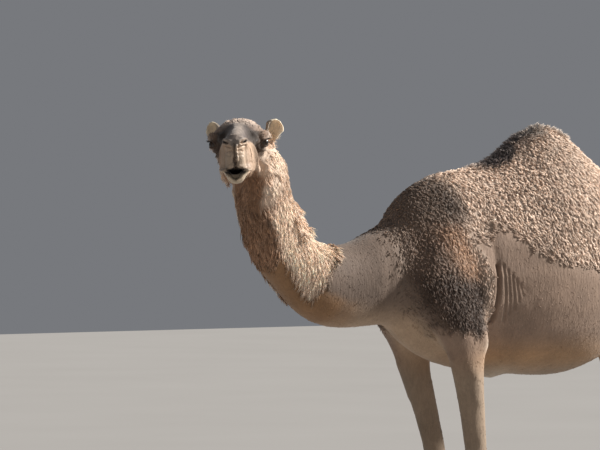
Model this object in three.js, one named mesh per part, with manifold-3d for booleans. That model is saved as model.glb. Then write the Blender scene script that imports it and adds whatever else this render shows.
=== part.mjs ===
// A standing one-humped camel at life size, its head turned to its left.
// Millimetres, +Z up. The camel faces -X, so its left side is -Y. The floor is z = 0.
import * as THREE from 'three';
import { mergeVertices } from 'three/addons/utils/BufferGeometryUtils.js';
import Module from 'manifold-3d';

const wasm = await Module();
wasm.setup();

// The body is drawn with x = 0 at its forelegs and y = 0 along its spine, and this moves it
// so that the origin is under the middle of the whole.
const bodyPlace = [71, 50, 0];
const gap = 0.3;
const left = -1;
const right = 1;
const bothSides = [left, right];
const sideNames = { [left]: 'left', [right]: 'right' };

// The trunk, from chest to rump: x, top, bottom, half width, how sharp its back and its keel are.
const trunkAxis = 1450;
const trunkRows = [
  [-415, 1600, 1330, 105, 1.0, 1.0],
  [-340, 1775, 1195, 165, 1.1, 1.1],
  [-220, 1868, 1108, 205, 1.2, 1.25],
  [-80, 1920, 1056, 230, 1.25, 1.3],
  [60, 1940, 1030, 258, 1.3, 1.2],
  [200, 1964, 1018, 290, 1.35, 1.05],
  [330, 2040, 1006, 318, 1.45, 0.95],
  [450, 2122, 996, 332, 1.5, 0.95],
  [560, 2146, 992, 336, 1.5, 0.95],
  [680, 2106, 1006, 328, 1.5, 0.95],
  [800, 2018, 1038, 304, 1.45, 1.0],
  [930, 1940, 1088, 262, 1.35, 1.0],
  [1060, 1872, 1150, 218, 1.2, 1.05],
  [1180, 1788, 1215, 178, 1.1, 1.1],
  [1270, 1690, 1290, 140, 1.0, 1.1],
  [1335, 1590, 1380, 80, 1.0, 1.0],
];
const sternumPad = { centre: [232, 0, 1022], radii: [72, 62, 34] };
const humpFloor = 1978;

// The neck, from shoulders to skull: centre x, y, z, reach to the nape side and to the throat
// side, half width, and how far its plane has turned towards the head's, in degrees.
const neckRows = [
  [-290, 0, 1560, 160, 300, 160, 0],
  [-420, 0, 1482, 180, 262, 166, 0],
  [-552, 0, 1427, 186, 202, 150, 0],
  [-700, -8, 1418, 180, 186, 138, 4],
  [-815, -20, 1452, 170, 176, 130, 10],
  [-940, -42, 1527, 142, 158, 120, 18],
  [-1080, -82, 1664, 138, 194, 120, 26],
  [-1168, -122, 1806, 134, 178, 124, 34],
  [-1212, -143, 1900, 128, 136, 124, 42],
  [-1236, -134, 1980, 96, 96, 102, 47],
];
// The planes that part trunk and neck, each with the direction ahead of it.
const chestCut = { at: [-446, 0, 1430], ahead: [-0.97, 0, -0.23] };
const neckCuts = [
  { name: 'neck_lower', at: [-830, -22, 1460], ahead: [-0.87, -0.12, 0.48] },
  { name: 'neck_middle', at: [-1085, -84, 1668], ahead: [-0.5, -0.22, 0.84] },
];

// The head's own frame: x forward, y to its left, z up, from the middle between the eyes.
const headPlace = [-1336, -170, 2011];
const headTurn = 47.5;
const headRoll = 2.5;
// From poll to lips: x, height of the widest line, top, bottom, half width, sharpness above
// and below.
const headRows = [
  [-208, -30, 15, -80, 45, 1.0, 1.0],
  [-180, -22, 64, -125, 80, 1.0, 1.0],
  [-130, -10, 94, -152, 100, 1.0, 1.0],
  [-70, 2, 109, -166, 113, 0.95, 1.1],
  [-15, 6, 108, -164, 115, 0.95, 1.15],
  [35, -4, 93, -156, 95, 1.05, 1.1],
  [85, -20, 73, -149, 72, 1.1, 1.0],
  [135, -38, 58, -145, 62, 1.1, 1.0],
  [185, -52, 50, -147, 62, 1.15, 0.95],
  [230, -64, 47, -157, 70, 1.2, 0.95],
  [268, -72, 42, -169, 76, 1.15, 1.0],
  [296, -78, 24, -168, 66, 1.1, 1.0],
  [316, -84, -16, -148, 42, 1.0, 1.0],
];
const brow = { x: -10, y: 98, z: 24, radii: [60, 30, 30], yaw: 14 };
const jaw = { x: -62, y: 62, z: -88, radii: [84, 38, 74], yaw: 4 };
const eye = { x: 13, y: 101, z: -2, radius: 20 };
// The parted lips: x, height, reach up and down, half width.
const mouthRows = [
  [175, -122, 2, 4, 40],
  [240, -121, 7, 10, 46],
  [290, -118, 10, 16, 40],
  [340, -116, 13, 18, 48],
];
// The plane between head and neck, in the head's frame.
const napeCut = { at: [-130, 0, -60], ahead: [0.871, 0, 0.491] };

// An ear's own frame: x the way its cup faces, y its breadth, z from root to tip.
// Its rows: z, half breadth, half depth.
const earRows = [
  [-18, 20, 20],
  [10, 27, 25],
  [40, 34, 23],
  [72, 33, 18],
  [98, 24, 12],
  [118, 9, 6],
];
const earWall = 5.5;
const cupDepth = 0.82;
const earRoom = { size: [110, 100, 170], above: 12 };
// Where each ear is rooted and how it stands up: the right one is drawn in and back.
const earStances = {
  [left]: { root: [-128, 112, 4], upright: [-0.1, 0.45, 0.88], facing: [0.86, 0.45, 0] },
  [right]: { root: [-132, -98, 2], upright: [-0.28, -0.24, 0.93], facing: [0.86, -0.45, 0] },
};

// The tail: z, x, radius; and the brush of hair on its end.
const tailRows = [
  [1640, 1270, 46],
  [1590, 1345, 40],
  [1520, 1388, 33],
  [1420, 1406, 27],
  [1300, 1410, 22],
  [1180, 1406, 18],
  [1090, 1402, 16],
];
const brushRows = [
  [1120, 1400, 20],
  [1060, 1402, 33],
  [980, 1403, 38],
  [900, 1401, 30],
  [835, 1398, 10],
];
const tailRootX = 1352;
const brushTop = 1100;

// The legs. Rows run down from withers or croup to pastern: z, x, distance from the spine's
// plane, reach ahead and behind, half width. The room is what a leg takes from the body, a
// block with a top that slopes up outwards. The right leg stands a stride behind the left.
const fetlockCut = 158;
const foreleg = {
  name: 'foreleg',
  stride: 52,
  jointCut: 540,
  rows: [
    [1815, -80, 56, 55, 60, 34],
    [1740, -100, 92, 125, 135, 80],
    [1620, -138, 126, 158, 152, 96],
    [1500, -178, 154, 190, 168, 105],
    [1400, -196, 170, 206, 192, 107],
    [1310, -180, 181, 192, 196, 100],
    [1230, -146, 191, 150, 170, 86],
    [1160, -116, 200, 112, 146, 72],
    [1085, -96, 203, 92, 98, 63],
    [990, -72, 195, 84, 82, 57],
    [905, -49, 187, 77, 74, 53],
    [800, -25, 175, 70, 67, 50],
    [700, -3, 165, 62, 61, 49],
    [625, 12, 160, 62, 53, 54],
    [560, 20, 158, 52, 47, 46],
    [480, 25, 157, 38, 39, 36],
    [340, 30, 156, 34, 37, 32],
    [250, 35, 155, 39, 43, 37],
    [195, 37, 155, 46, 52, 45],
    [130, 26, 155, 50, 54, 50],
    [62, 8, 155, 66, 66, 64],
  ],
  foot: { x: -8, y: 155, length: 104, toeWidth: 52, toeSpread: 43, height: 74 },
  room: { x: -70, depth: 370, inner: 45, innerTop: 960, outer: 420, outerTop: 1330 },
};
const hindleg = {
  name: 'hindleg',
  stride: 130,
  jointCut: 560,
  rows: [
    [1760, 1110, 62, 60, 60, 40],
    [1680, 1128, 88, 130, 115, 78],
    [1570, 1142, 114, 168, 145, 102],
    [1450, 1145, 134, 186, 155, 108],
    [1320, 1134, 150, 186, 150, 102],
    [1200, 1112, 161, 162, 128, 92],
    [1100, 1100, 164, 132, 100, 80],
    [1000, 1112, 161, 100, 78, 66],
    [900, 1148, 153, 76, 68, 55],
    [780, 1202, 143, 58, 62, 46],
    [680, 1238, 137, 54, 64, 46],
    [625, 1240, 134, 50, 60, 46],
    [560, 1224, 132, 42, 48, 39],
    [450, 1204, 131, 35, 40, 33],
    [320, 1188, 130, 32, 36, 30],
    [240, 1178, 130, 37, 42, 36],
    [190, 1172, 130, 43, 48, 43],
    [128, 1160, 130, 47, 50, 48],
    [60, 1142, 130, 62, 62, 60],
  ],
  foot: { x: 1128, y: 130, length: 96, toeWidth: 46, toeSpread: 37, height: 68 },
  room: { x: 1180, depth: 520, inner: 24, innerTop: 1130, outer: 420, outerTop: 1480 },
};
// Toes and their nails, as parts of the foot's length and as sizes.
const toeCentreHeight = 0.3;
const toeSplay = 6;
const nail = { ahead: 0.86, spread: 9, z: 34, radii: [30, 17, 19], pitch: -24 };

const coats = {
  tan: { color: 0xa98663, roughness: 0.95, metalness: 0 },
  wool: { color: 0x9c7c5f, roughness: 1, metalness: 0 },
  face: { color: 0xb79674, roughness: 0.9, metalness: 0 },
  brush: { color: 0x3f2e24, roughness: 1, metalness: 0 },
  eye: { color: 0x140d0a, roughness: 0.12, metalness: 0 },
  nail: { color: 0x3a302a, roughness: 0.6, metalness: 0 },
};

const radians = THREE.MathUtils.degToRad;
const vector = (x, y, z) => new THREE.Vector3(x, y, z);
const forward = vector(-1, 0, 0);
const rightward = vector(0, 1, 0);
const leftward = vector(0, -1, 0);
const upward = vector(0, 0, 1);

// A closed geometry as a solid that can be joined and cut.
function toSolid(geometry) {
  geometry.deleteAttribute('normal');
  geometry.deleteAttribute('uv');
  const merged = mergeVertices(geometry, 1e-4);
  const vertProperties = new Float32Array(merged.attributes.position.array);
  const triVerts = new Uint32Array(merged.index.array);
  return new wasm.Manifold(new wasm.Mesh({ numProp: 3, vertProperties, triVerts }));
}

function toGeometry(solid) {
  const mesh = solid.getMesh();
  const geometry = new THREE.BufferGeometry();
  geometry.setAttribute('position', new THREE.BufferAttribute(mesh.vertProperties, 3));
  geometry.setIndex(new THREE.BufferAttribute(mesh.triVerts, 1));
  geometry.computeVertexNormals();
  return geometry;
}

// Reads rows of numbers as a smooth course, which gives the row at any part (0 to 1) of the way.
function smoothRows(rows) {
  const width = rows[0].length;
  const places = rows.map((row, index) => index / (rows.length - 1));
  const course = new THREE.CubicInterpolant(places, rows.flat(), width, new Array(width));
  return (part) => [...course.evaluate(part)];
}

// One cross-section: an egg in the plane of two directions, its points counted round from a side.
function section(centre, up, side, egg, count) {
  const { above, below, half, ridge = 1, keel = 1 } = egg;
  return Array.from({ length: count }, (_, step) => {
    const angle = (2 * Math.PI * step) / count;
    const upper = Math.sin(angle) > 0;
    const across = Math.cos(angle);
    const spread = Math.sign(across) * Math.abs(across) ** (upper ? ridge : keel) * half;
    const rise = Math.sin(angle) * (upper ? above : below);
    return centre.clone().addScaledVector(up, rise).addScaledVector(side, spread);
  });
}

function middleOf(points) {
  const sum = points.reduce((total, point) => total.add(point), vector(0, 0, 0));
  return sum.divideScalar(points.length);
}

// Skins a row of sections, and closes both ends, into one solid.
function loft(rings) {
  const count = rings[0].length;
  const lastRing = (rings.length - 1) * count;
  const firstMiddle = rings.length * count;
  const lastMiddle = firstMiddle + 1;
  const triangles = [];
  for (let step = 0; step < count; step += 1) {
    const next = (step + 1) % count;
    triangles.push(firstMiddle, step, next);
    triangles.push(lastMiddle, lastRing + next, lastRing + step);
    for (let start = 0; start < lastRing; start += count) {
      const after = start + count;
      triangles.push(start + step, after + step, start + next);
      triangles.push(start + next, after + step, after + next);
    }
  }
  const points = [...rings.flat(), middleOf(rings[0]), middleOf(rings.at(-1))];
  const geometry = new THREE.BufferGeometry().setFromPoints(points);
  geometry.setIndex(triangles);
  return toSolid(geometry);
}

// Lays sections along a course: readRing turns a row into one section.
function loftRows(rows, ringCount, readRing) {
  const course = smoothRows(rows);
  const parts = Array.from({ length: ringCount }, (_, index) => index / (ringCount - 1));
  return loft(parts.map((part) => readRing(course(part), part)));
}

function pose(centre, [roll, pitch, yaw] = [0, 0, 0]) {
  const angles = new THREE.Euler(radians(roll), radians(pitch), radians(yaw), 'ZYX');
  return new THREE.Matrix4().makeRotationFromEuler(angles).setPosition(...centre);
}

// A ball stretched to three radii, then placed.
function ellipsoid(radii, place, detail) {
  const geometry = new THREE.SphereGeometry(1, ...detail).scale(...radii);
  return toSolid(geometry.applyMatrix4(place));
}

// Splits a solid at a plane: what is ahead of it and what is behind, a gap apart.
function splitAtPlane(solid, point, ahead) {
  const normal = ahead.clone().normalize();
  const reach = point.dot(normal);
  return [
    solid.trimByPlane(normal.toArray(), reach + gap / 2),
    solid.trimByPlane(normal.clone().negate().toArray(), gap / 2 - reach),
  ];
}

// Splits a solid with a cutter that can grow: what is in it and the rest, a gap apart.
function splitByCutter(solid, makeCutter) {
  return [solid.intersect(makeCutter(0)), solid.subtract(makeCutter(gap))];
}

// The barrel of the body, with the horny pad under its breastbone.
function buildTrunk() {
  const barrel = loftRows(trunkRows, 23, ([x, top, bottom, half, ridge, keel]) => {
    const egg = { above: top - trunkAxis, below: trunkAxis - bottom, half, ridge, keel };
    return section(vector(x, 0, trunkAxis), upward, leftward, egg, 22);
  });
  return barrel.add(ellipsoid(sternumPad.radii, pose(sternumPad.centre), [10, 6]));
}

function buildNeck() {
  const course = smoothRows(neckRows);
  const step = 1e-3;
  return loftRows(neckRows, 19, ([x, y, z, above, below, half, twist], part) => {
    const back = vector(...course(Math.max(part - step, 0)));
    const along = vector(...course(Math.min(part + step, 1))).sub(back).normalize();
    const nape = vector(Math.cos(radians(twist)), Math.sin(radians(twist)), 1);
    nape.addScaledVector(along, -nape.dot(along)).normalize();
    const side = along.clone().cross(nape);
    return section(vector(x, y, z), nape, side, { above, below, half }, 16);
  });
}

// A tube that hangs down the middle plane, from rows of height, x and radius.
function buildTail(rows, ringCount) {
  return loftRows(rows, ringCount, ([z, x, radius]) => {
    const egg = { above: radius, below: radius, half: radius };
    return section(vector(x, 0, z), forward, rightward, egg, 9);
  });
}

const strideOf = (leg, side) => (side === right ? leg.stride : 0);

// One leg without its foot. Its stride comes in gradually below the top.
function buildShaft(leg, side) {
  const top = leg.rows[0][0];
  return loftRows(leg.rows, 24, ([z, x, reach, above, below, half]) => {
    const lean = strideOf(leg, side) * THREE.MathUtils.smoothstep(top - z, 200, 900);
    const egg = { above, below, half, ridge: 0.9, keel: 0.9 };
    return section(vector(x + lean, side * reach, z), forward, rightward, egg, 10);
  });
}

// A broad foot of two toes on one flat sole.
function buildFoot(leg, side) {
  const { x, y, length, toeWidth, toeSpread, height } = leg.foot;
  const toes = [-1, 1].map((toe) => {
    const centre = [x + strideOf(leg, side), side * y + toe * toeSpread, height * toeCentreHeight];
    const place = pose(centre, [0, 0, -toe * toeSplay]);
    return ellipsoid([length, toeWidth, height], place, [10, 6]);
  });
  return wasm.Manifold.union(toes).trimByPlane([0, 0, 1], 0);
}

function buildNail(leg, side, toe, growth) {
  const { x, y, length, toeSpread } = leg.foot;
  const ahead = x + strideOf(leg, side) - length * nail.ahead;
  const place = pose([ahead, side * y + toe * (toeSpread + nail.spread), nail.z],
    [0, nail.pitch, -toe * toeSplay]);
  return ellipsoid(nail.radii.map((radius) => radius + growth), place, [7, 4]);
}

function buildLegRoom(leg, side, growth) {
  const { x, depth, inner, innerTop, outer, outerTop } = leg.room;
  const belowFloor = -60;
  const rise = growth * Math.SQRT2;
  const outline = new THREE.Shape();
  outline.moveTo(inner - growth, belowFloor);
  outline.lineTo(outer, belowFloor);
  outline.lineTo(outer, outerTop + rise);
  outline.lineTo(inner - growth, innerTop + rise);
  const long = depth + 2 * growth;
  const block = new THREE.ExtrudeGeometry(outline, { depth: long, bevelEnabled: false });
  const place = new THREE.Matrix4().makeBasis(vector(0, side, 0), upward, vector(side, 0, 0));
  place.setPosition(x + strideOf(leg, side), 0, 0);
  return toSolid(block.translate(0, 0, -long / 2).applyMatrix4(place));
}

// From the head's frame to the body's.
const headPose = new THREE.Matrix4().makeBasis(forward, leftward, upward);
headPose.premultiply(new THREE.Matrix4().makeRotationZ(radians(headTurn)));
headPose.multiply(new THREE.Matrix4().makeRotationX(radians(headRoll)));
headPose.setPosition(...headPlace);

// The head's left is +y in its own frame.
const acrossHead = (side, distance) => -side * distance;

function buildSkull() {
  const skull = loftRows(headRows, 20, ([x, waist, top, bottom, half, ridge, keel]) => {
    const egg = { above: top - waist, below: waist - bottom, half, ridge, keel };
    return section(vector(x, 0, waist), upward, leftward, egg, 18);
  });
  const swellings = bothSides.flatMap((side) => [brow, jaw].map(({ x, y, z, radii, yaw }) => {
    const place = pose([x, acrossHead(side, y), z], [0, 0, side * yaw]);
    return ellipsoid(radii, place, [10, 6]);
  }));
  return wasm.Manifold.union([skull, ...swellings]);
}

function buildEye(side, growth) {
  const radius = eye.radius + growth;
  const place = pose([eye.x, acrossHead(side, eye.y), eye.z]);
  return ellipsoid([radius, radius, radius], place, [12, 7]);
}

function buildMouthGap() {
  return loftRows(mouthRows, 4, ([x, z, above, below, half]) => {
    const egg = { above, below, half, keel: 1.4 };
    return section(vector(x, 0, z), upward, leftward, egg, 10);
  });
}

function earPose(side) {
  const { root, upright, facing } = earStances[side];
  const up = vector(...upright).normalize();
  const ahead = vector(...facing);
  ahead.addScaledVector(up, -ahead.dot(up)).normalize();
  return new THREE.Matrix4().makeBasis(ahead, up.clone().cross(ahead), up).setPosition(...root);
}

// A cupped ear: a leaf-shaped shell with a smaller leaf taken out of its front.
function buildEar(side) {
  const shell = loftRows(earRows, 6, ([z, half, depth]) => {
    const egg = { above: depth, below: depth, half };
    return section(vector(0, 0, z), vector(1, 0, 0), rightward, egg, 10);
  });
  const cup = loftRows(earRows.slice(1), 5, ([z, half, depth]) => {
    const egg = { above: depth, below: depth, half: half - earWall };
    const centre = vector(depth * cupDepth, 0, z - earWall);
    return section(centre, vector(1, 0, 0), rightward, egg, 8);
  });
  return shell.subtract(cup).transform(earPose(side).toArray());
}

// The room round one ear above its root.
function buildEarRoom(side, growth) {
  const size = earRoom.size.map((length) => length + 2 * growth);
  const block = new THREE.BoxGeometry(...size);
  block.translate(0, 0, earRoom.size[2] / 2 + earRoom.above);
  return toSolid(block.applyMatrix4(headPose.clone().multiply(earPose(side))));
}

const camel = new THREE.Group();
camel.name = 'camel';
camel.position.set(...bodyPlace);

function addNode(name, solid, coat) {
  const mesh = new THREE.Mesh(toGeometry(solid), new THREE.MeshStandardMaterial(coats[coat]));
  mesh.name = name;
  camel.add(mesh);
}

// Joins one whole leg to the body, parts it from the rest and at its joints, and sets in its
// nails. Returns what is left of the body.
function addLeg(body, leg, side) {
  const whole = body.add(buildShaft(leg, side)).add(buildFoot(leg, side));
  const [limb, rest] = splitByCutter(whole, (growth) => buildLegRoom(leg, side, growth));
  const [upper, shank] = splitAtPlane(limb, vector(0, 0, leg.jointCut), upward);
  const [lower, foot] = splitAtPlane(shank, vector(0, 0, fetlockCut), upward);
  const recesses = bothSides.map((toe) => buildNail(leg, side, toe, gap));
  const name = `${leg.name}_${sideNames[side]}`;
  addNode(`${name}_upper`, upper, 'tan');
  addNode(`${name}_lower`, lower, 'tan');
  addNode(`${name}_foot`, wasm.Manifold.difference([foot, ...recesses]), 'tan');
  for (const toe of bothSides) {
    addNode(`${name}_nail_${toe === side ? 'outer' : 'inner'}`, buildNail(leg, side, toe, 0), 'nail');
  }
  return rest;
}

let body = wasm.Manifold.union([buildTrunk(), buildNeck(), buildTail(tailRows, 9)]);
for (const leg of [foreleg, hindleg]) {
  for (const side of bothSides) body = addLeg(body, leg, side);
}

const [tail, tailless] = splitAtPlane(body, vector(tailRootX, 0, 0), vector(1, 0, 0));
const [tailStem] = splitAtPlane(tail, vector(0, 0, brushTop), upward);
const [, brush] = splitAtPlane(buildTail(brushRows, 9), vector(0, 0, brushTop), upward);
addNode('tail', tailStem, 'tan');
addNode('tail_brush', brush, 'brush');

const [neck, trunkWithHump] = splitAtPlane(tailless, vector(...chestCut.at), vector(...chestCut.ahead));
const [hump, trunk] = splitAtPlane(trunkWithHump, vector(0, 0, humpFloor), upward);
addNode('trunk', trunk, 'wool');
addNode('hump', hump, 'wool');

// The neck's lengths, from the trunk forwards. What is left over meets the head.
let neckEnd = neck;
for (const { name, at, ahead } of neckCuts) {
  const [beyond, piece] = splitAtPlane(neckEnd, vector(...at), vector(...ahead));
  addNode(name, piece, 'tan');
  neckEnd = beyond;
}

const hollows = bothSides.map((side) => buildEye(side, gap)).concat(buildMouthGap());
const bareHead = wasm.Manifold.union([buildSkull(), ...bothSides.map(buildEar)]);
const openHead = wasm.Manifold.difference([bareHead, ...hollows]);
const headAndNeck = openHead.transform(headPose.toArray()).add(neckEnd);
const [headWithEars, neckUpper] = splitAtPlane(
  headAndNeck,
  vector(...napeCut.at).applyMatrix4(headPose),
  vector(...napeCut.ahead).transformDirection(headPose),
);
addNode('neck_upper', neckUpper, 'tan');

let head = headWithEars;
for (const side of bothSides) {
  const [ear, earless] = splitByCutter(head, (growth) => buildEarRoom(side, growth));
  addNode(`ear_${sideNames[side]}`, ear, 'face');
  addNode(`eye_${sideNames[side]}`, buildEye(side, 0).transform(headPose.toArray()), 'eye');
  head = earless;
}
addNode('head', head, 'face');

export default camel;
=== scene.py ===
import math
import time
import bpy
import numpy as np
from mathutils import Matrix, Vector, kdtree


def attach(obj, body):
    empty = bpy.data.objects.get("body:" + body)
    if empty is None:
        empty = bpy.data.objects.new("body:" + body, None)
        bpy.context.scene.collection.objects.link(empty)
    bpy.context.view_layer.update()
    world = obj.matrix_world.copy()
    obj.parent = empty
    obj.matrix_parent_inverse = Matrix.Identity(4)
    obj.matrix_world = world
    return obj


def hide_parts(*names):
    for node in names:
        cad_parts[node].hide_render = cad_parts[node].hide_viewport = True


started = time.time()
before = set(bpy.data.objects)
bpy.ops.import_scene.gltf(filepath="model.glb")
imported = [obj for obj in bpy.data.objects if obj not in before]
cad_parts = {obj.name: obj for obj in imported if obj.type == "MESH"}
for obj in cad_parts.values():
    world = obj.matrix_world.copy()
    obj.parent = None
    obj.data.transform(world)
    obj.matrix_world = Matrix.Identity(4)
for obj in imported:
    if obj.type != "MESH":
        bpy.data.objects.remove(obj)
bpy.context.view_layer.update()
chance = np.random.default_rng(11)


def say(stage):
    print(f"{stage}, {time.time() - started:.1f} s")


# Camera
view = {"place": (-9.437, -10.248, 1.676), "turn": (90, 0, -40), "lens": 190.7}
bpy.ops.object.camera_add(location=view["place"], rotation=[math.radians(a) for a in view["turn"]])
camera = bpy.context.object
camera.data.lens = view["lens"]
camera.data.sensor_width = 36
camera.data.clip_end = 200
bpy.context.scene.camera = camera


# Small helpers
def clearSelection():
    bpy.ops.object.select_all(action="DESELECT")


def pick(*things):
    clearSelection()
    for thing in things:
        thing.select_set(True)
    bpy.context.view_layer.objects.active = things[0]


def applyModifier(thing, kind, **settings):
    pick(thing)
    modifier = thing.modifiers.new(kind.lower(), kind)
    for name, value in settings.items():
        setattr(modifier, name, value)
    bpy.ops.object.modifier_apply(modifier=modifier.name)


def readPoints(mesh):
    values = np.empty(len(mesh.vertices) * 3, np.float32)
    mesh.vertices.foreach_get("co", values)
    return values.reshape(-1, 3).astype(float)


def writePoints(mesh, points):
    mesh.vertices.foreach_set("co", points.astype(np.float32).ravel())
    mesh.update()


def readNormals(mesh):
    values = np.empty(len(mesh.vertices) * 3, np.float32)
    mesh.vertices.foreach_get("normal", values)
    return values.reshape(-1, 3).astype(float)


def unit(vectors):
    return vectors / np.maximum(np.linalg.norm(vectors, axis=-1, keepdims=True), 1e-9)


def dots(a, b):
    return (a * b).sum(-1)


def ramp(value, low, high):
    share = np.clip((value - low) / (high - low), 0, 1)
    return share * share * (3 - 2 * share)


def bell(distance, width):
    return np.exp(-(distance / width) ** 2)


def mix(a, b, share):
    # numbers or rows of three, by one share for each point
    a, b, share = np.asarray(a), np.asarray(b), np.asarray(share)
    if share.ndim == 1 and (a.shape[-1:] == (3,) or b.shape[-1:] == (3,)):
        share = share[:, None]
    return a + (b - a) * share


def grain(points, size, seed):
    # smooth random values from 0 to 1, one knot each `size` metres
    spots = points / size + seed * 17.3
    corner = np.floor(spots).astype(np.int64)
    part = spots - corner
    part = part * part * (3 - 2 * part)
    total = np.zeros(len(points))
    for dx in (0, 1):
        for dy in (0, 1):
            for dz in (0, 1):
                mixed = (corner[:, 0] + dx) * 73856093 ^ (corner[:, 1] + dy) * 19349663 ^ (corner[:, 2] + dz) * 83492791
                mixed = (mixed ^ (mixed >> 13)) * 1274126177 & 0x7FFFFFFF
                value = (mixed % 65521) / 65521
                share = np.abs(1 - dx - part[:, 0]) * np.abs(1 - dy - part[:, 1]) * np.abs(1 - dz - part[:, 2])
                total += value * share
    return total


def towards(points, line):
    # distance to a line of points, and how far along it, in links
    line = np.asarray(line, float)
    best = np.full(len(points), 9.0)
    place = np.zeros(len(points))
    foot = np.zeros((len(points), 3))
    for i in range(len(line) - 1):
        link = line[i + 1] - line[i]
        share = np.clip(((points - line[i]) @ link) / max(link @ link, 1e-12), 0, 1)
        spot = line[i] + share[:, None] * link
        away = np.linalg.norm(points - spot, axis=1)
        near = away < best
        best[near] = away[near]
        place[near] = i + share[near]
        foot[near] = spot[near]
    return best, place, foot


# The head's own directions: ahead, the animal's left, and up
headAt = np.array([-1.265, -0.120, 2.011])
turn, roll = math.radians(47.5), math.radians(2.5)
headAhead = np.array([-math.cos(turn), -math.sin(turn), 0])
levelLeft = np.array([math.sin(turn), -math.cos(turn), 0])
headLeft = levelLeft * math.cos(roll) + np.array([0, 0, math.sin(roll)])
headUp = np.array([0, 0, math.cos(roll)]) - levelLeft * math.sin(roll)
headFrame = np.array([headAhead, headLeft, headUp])


def inHead(points):
    return (points - headAt) @ headFrame.T


def fromHead(vectors):
    return np.asarray(vectors, float) @ headFrame


neckLine = np.array([
    [-0.219, 0.050, 1.560], [-0.349, 0.050, 1.482], [-0.481, 0.050, 1.427], [-0.629, 0.042, 1.418],
    [-0.744, 0.030, 1.452], [-0.869, 0.008, 1.527], [-1.009, -0.032, 1.664], [-1.097, -0.072, 1.806],
    [-1.141, -0.093, 1.900], [-1.165, -0.084, 1.980]])
tailLine = np.array([
    [1.380, 0.050, 1.625], [1.420, 0.050, 1.590], [1.459, 0.050, 1.520], [1.477, 0.050, 1.420],
    [1.481, 0.050, 1.300], [1.477, 0.050, 1.180], [1.473, 0.050, 1.000], [1.469, 0.050, 0.835]])
napeAt = headAt + fromHead([-0.130, 0, -0.060])
napeAhead = fromHead([0.871, 0, 0.491])
earStands = {
    1: {"root": (-0.128, 0.112, 0.004), "up": (-0.10, 0.45, 0.88), "widen": 0.50},
    -1: {"root": (-0.132, -0.098, 0.002), "up": (-0.28, -0.24, 0.93), "widen": 0.20}}
eyeSpots = {side: np.array([0.013, 0.101 * side, -0.002]) for side in (1, -1)}
eyeRadius = 0.0198


def surroundings(points):
    # where each point is on the animal, as named measures the zones are drawn with
    at = {"x": points[:, 0], "y": points[:, 1] - 0.05, "z": points[:, 2]}
    at["side"] = np.abs(at["y"])
    local = inHead(points)
    at["local"] = local
    at["lx"], at["ly"], at["lz"] = local.T
    at["ls"] = np.abs(at["ly"])
    at["head"] = ramp((points - napeAt) @ napeAhead, -0.03, 0.03) * ramp(-at["x"], 0.9, 1.0)
    away, place, foot = towards(points, neckLine)
    at["neckPlace"] = place
    link = np.clip(place.astype(int), 0, len(neckLine) - 2)
    along = unit(neckLine[link + 1] - neckLine[link])
    back = unit(np.array([0, 0, 1.0]) - along[:, 2:3] * along)
    at["neckAlong"] = along
    at["dorsal"] = dots(unit(points - foot), back)
    at["neck"] = ramp(-at["x"], 0.24, 0.34) * (1 - at["head"])
    away, place, foot = towards(points, tailLine)
    at["tail"] = ramp(-away, -0.075, -0.05) * ramp(at["x"], 1.36, 1.40)
    at["ear"], at["earRim"], at["earInner"] = np.zeros((3, len(points)))
    for side, ear in earStands.items():
        root, up = np.array(ear["root"]), unit(np.array(ear["up"]))
        rise = (local - root) @ up
        off = np.linalg.norm(local - root - rise[:, None] * up, axis=1)
        at["ear"] = np.maximum(at["ear"], ramp(rise, 0.005, 0.03) * ramp(0.06 + 0.6 * np.maximum(rise - 0.05, 0) - off, 0, 0.015))
        at["earRim"] = np.maximum(at["earRim"], (off < 0.09) * np.maximum(ramp(off, 0.020, 0.028), ramp(rise, 0.085, 0.100)))
        # the low inner side of each ear, which is darkened as painted shade
        inner = (root[1] + rise * up[1] - local[:, 1]) * side
        at["earInner"] = np.maximum(at["earInner"], (off < 0.09) * ramp(inner, 0.010, 0.022) * ramp(-rise, -0.100, -0.080))
    return at


woolEdge = {"x": [-0.30, -0.04, 0.07, 0.14, 0.33, 0.66, 1.00, 1.25, 1.42],
            "z": [1.74, 1.64, 1.62, 1.69, 1.585, 1.47, 1.42, 1.44, 1.55]}
patchEdge = {"z": [1.19, 1.25, 1.35, 1.45, 1.55, 1.65, 1.75, 1.85, 1.95],
             "front": [-0.15, -0.27, -0.335, -0.36, -0.370, -0.39, -0.41, -0.40, -0.36],
             "rear": [0.00, 0.095, 0.112, 0.095, 0.045, 0.010, 0.030, 0.00, -0.14]}


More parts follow.
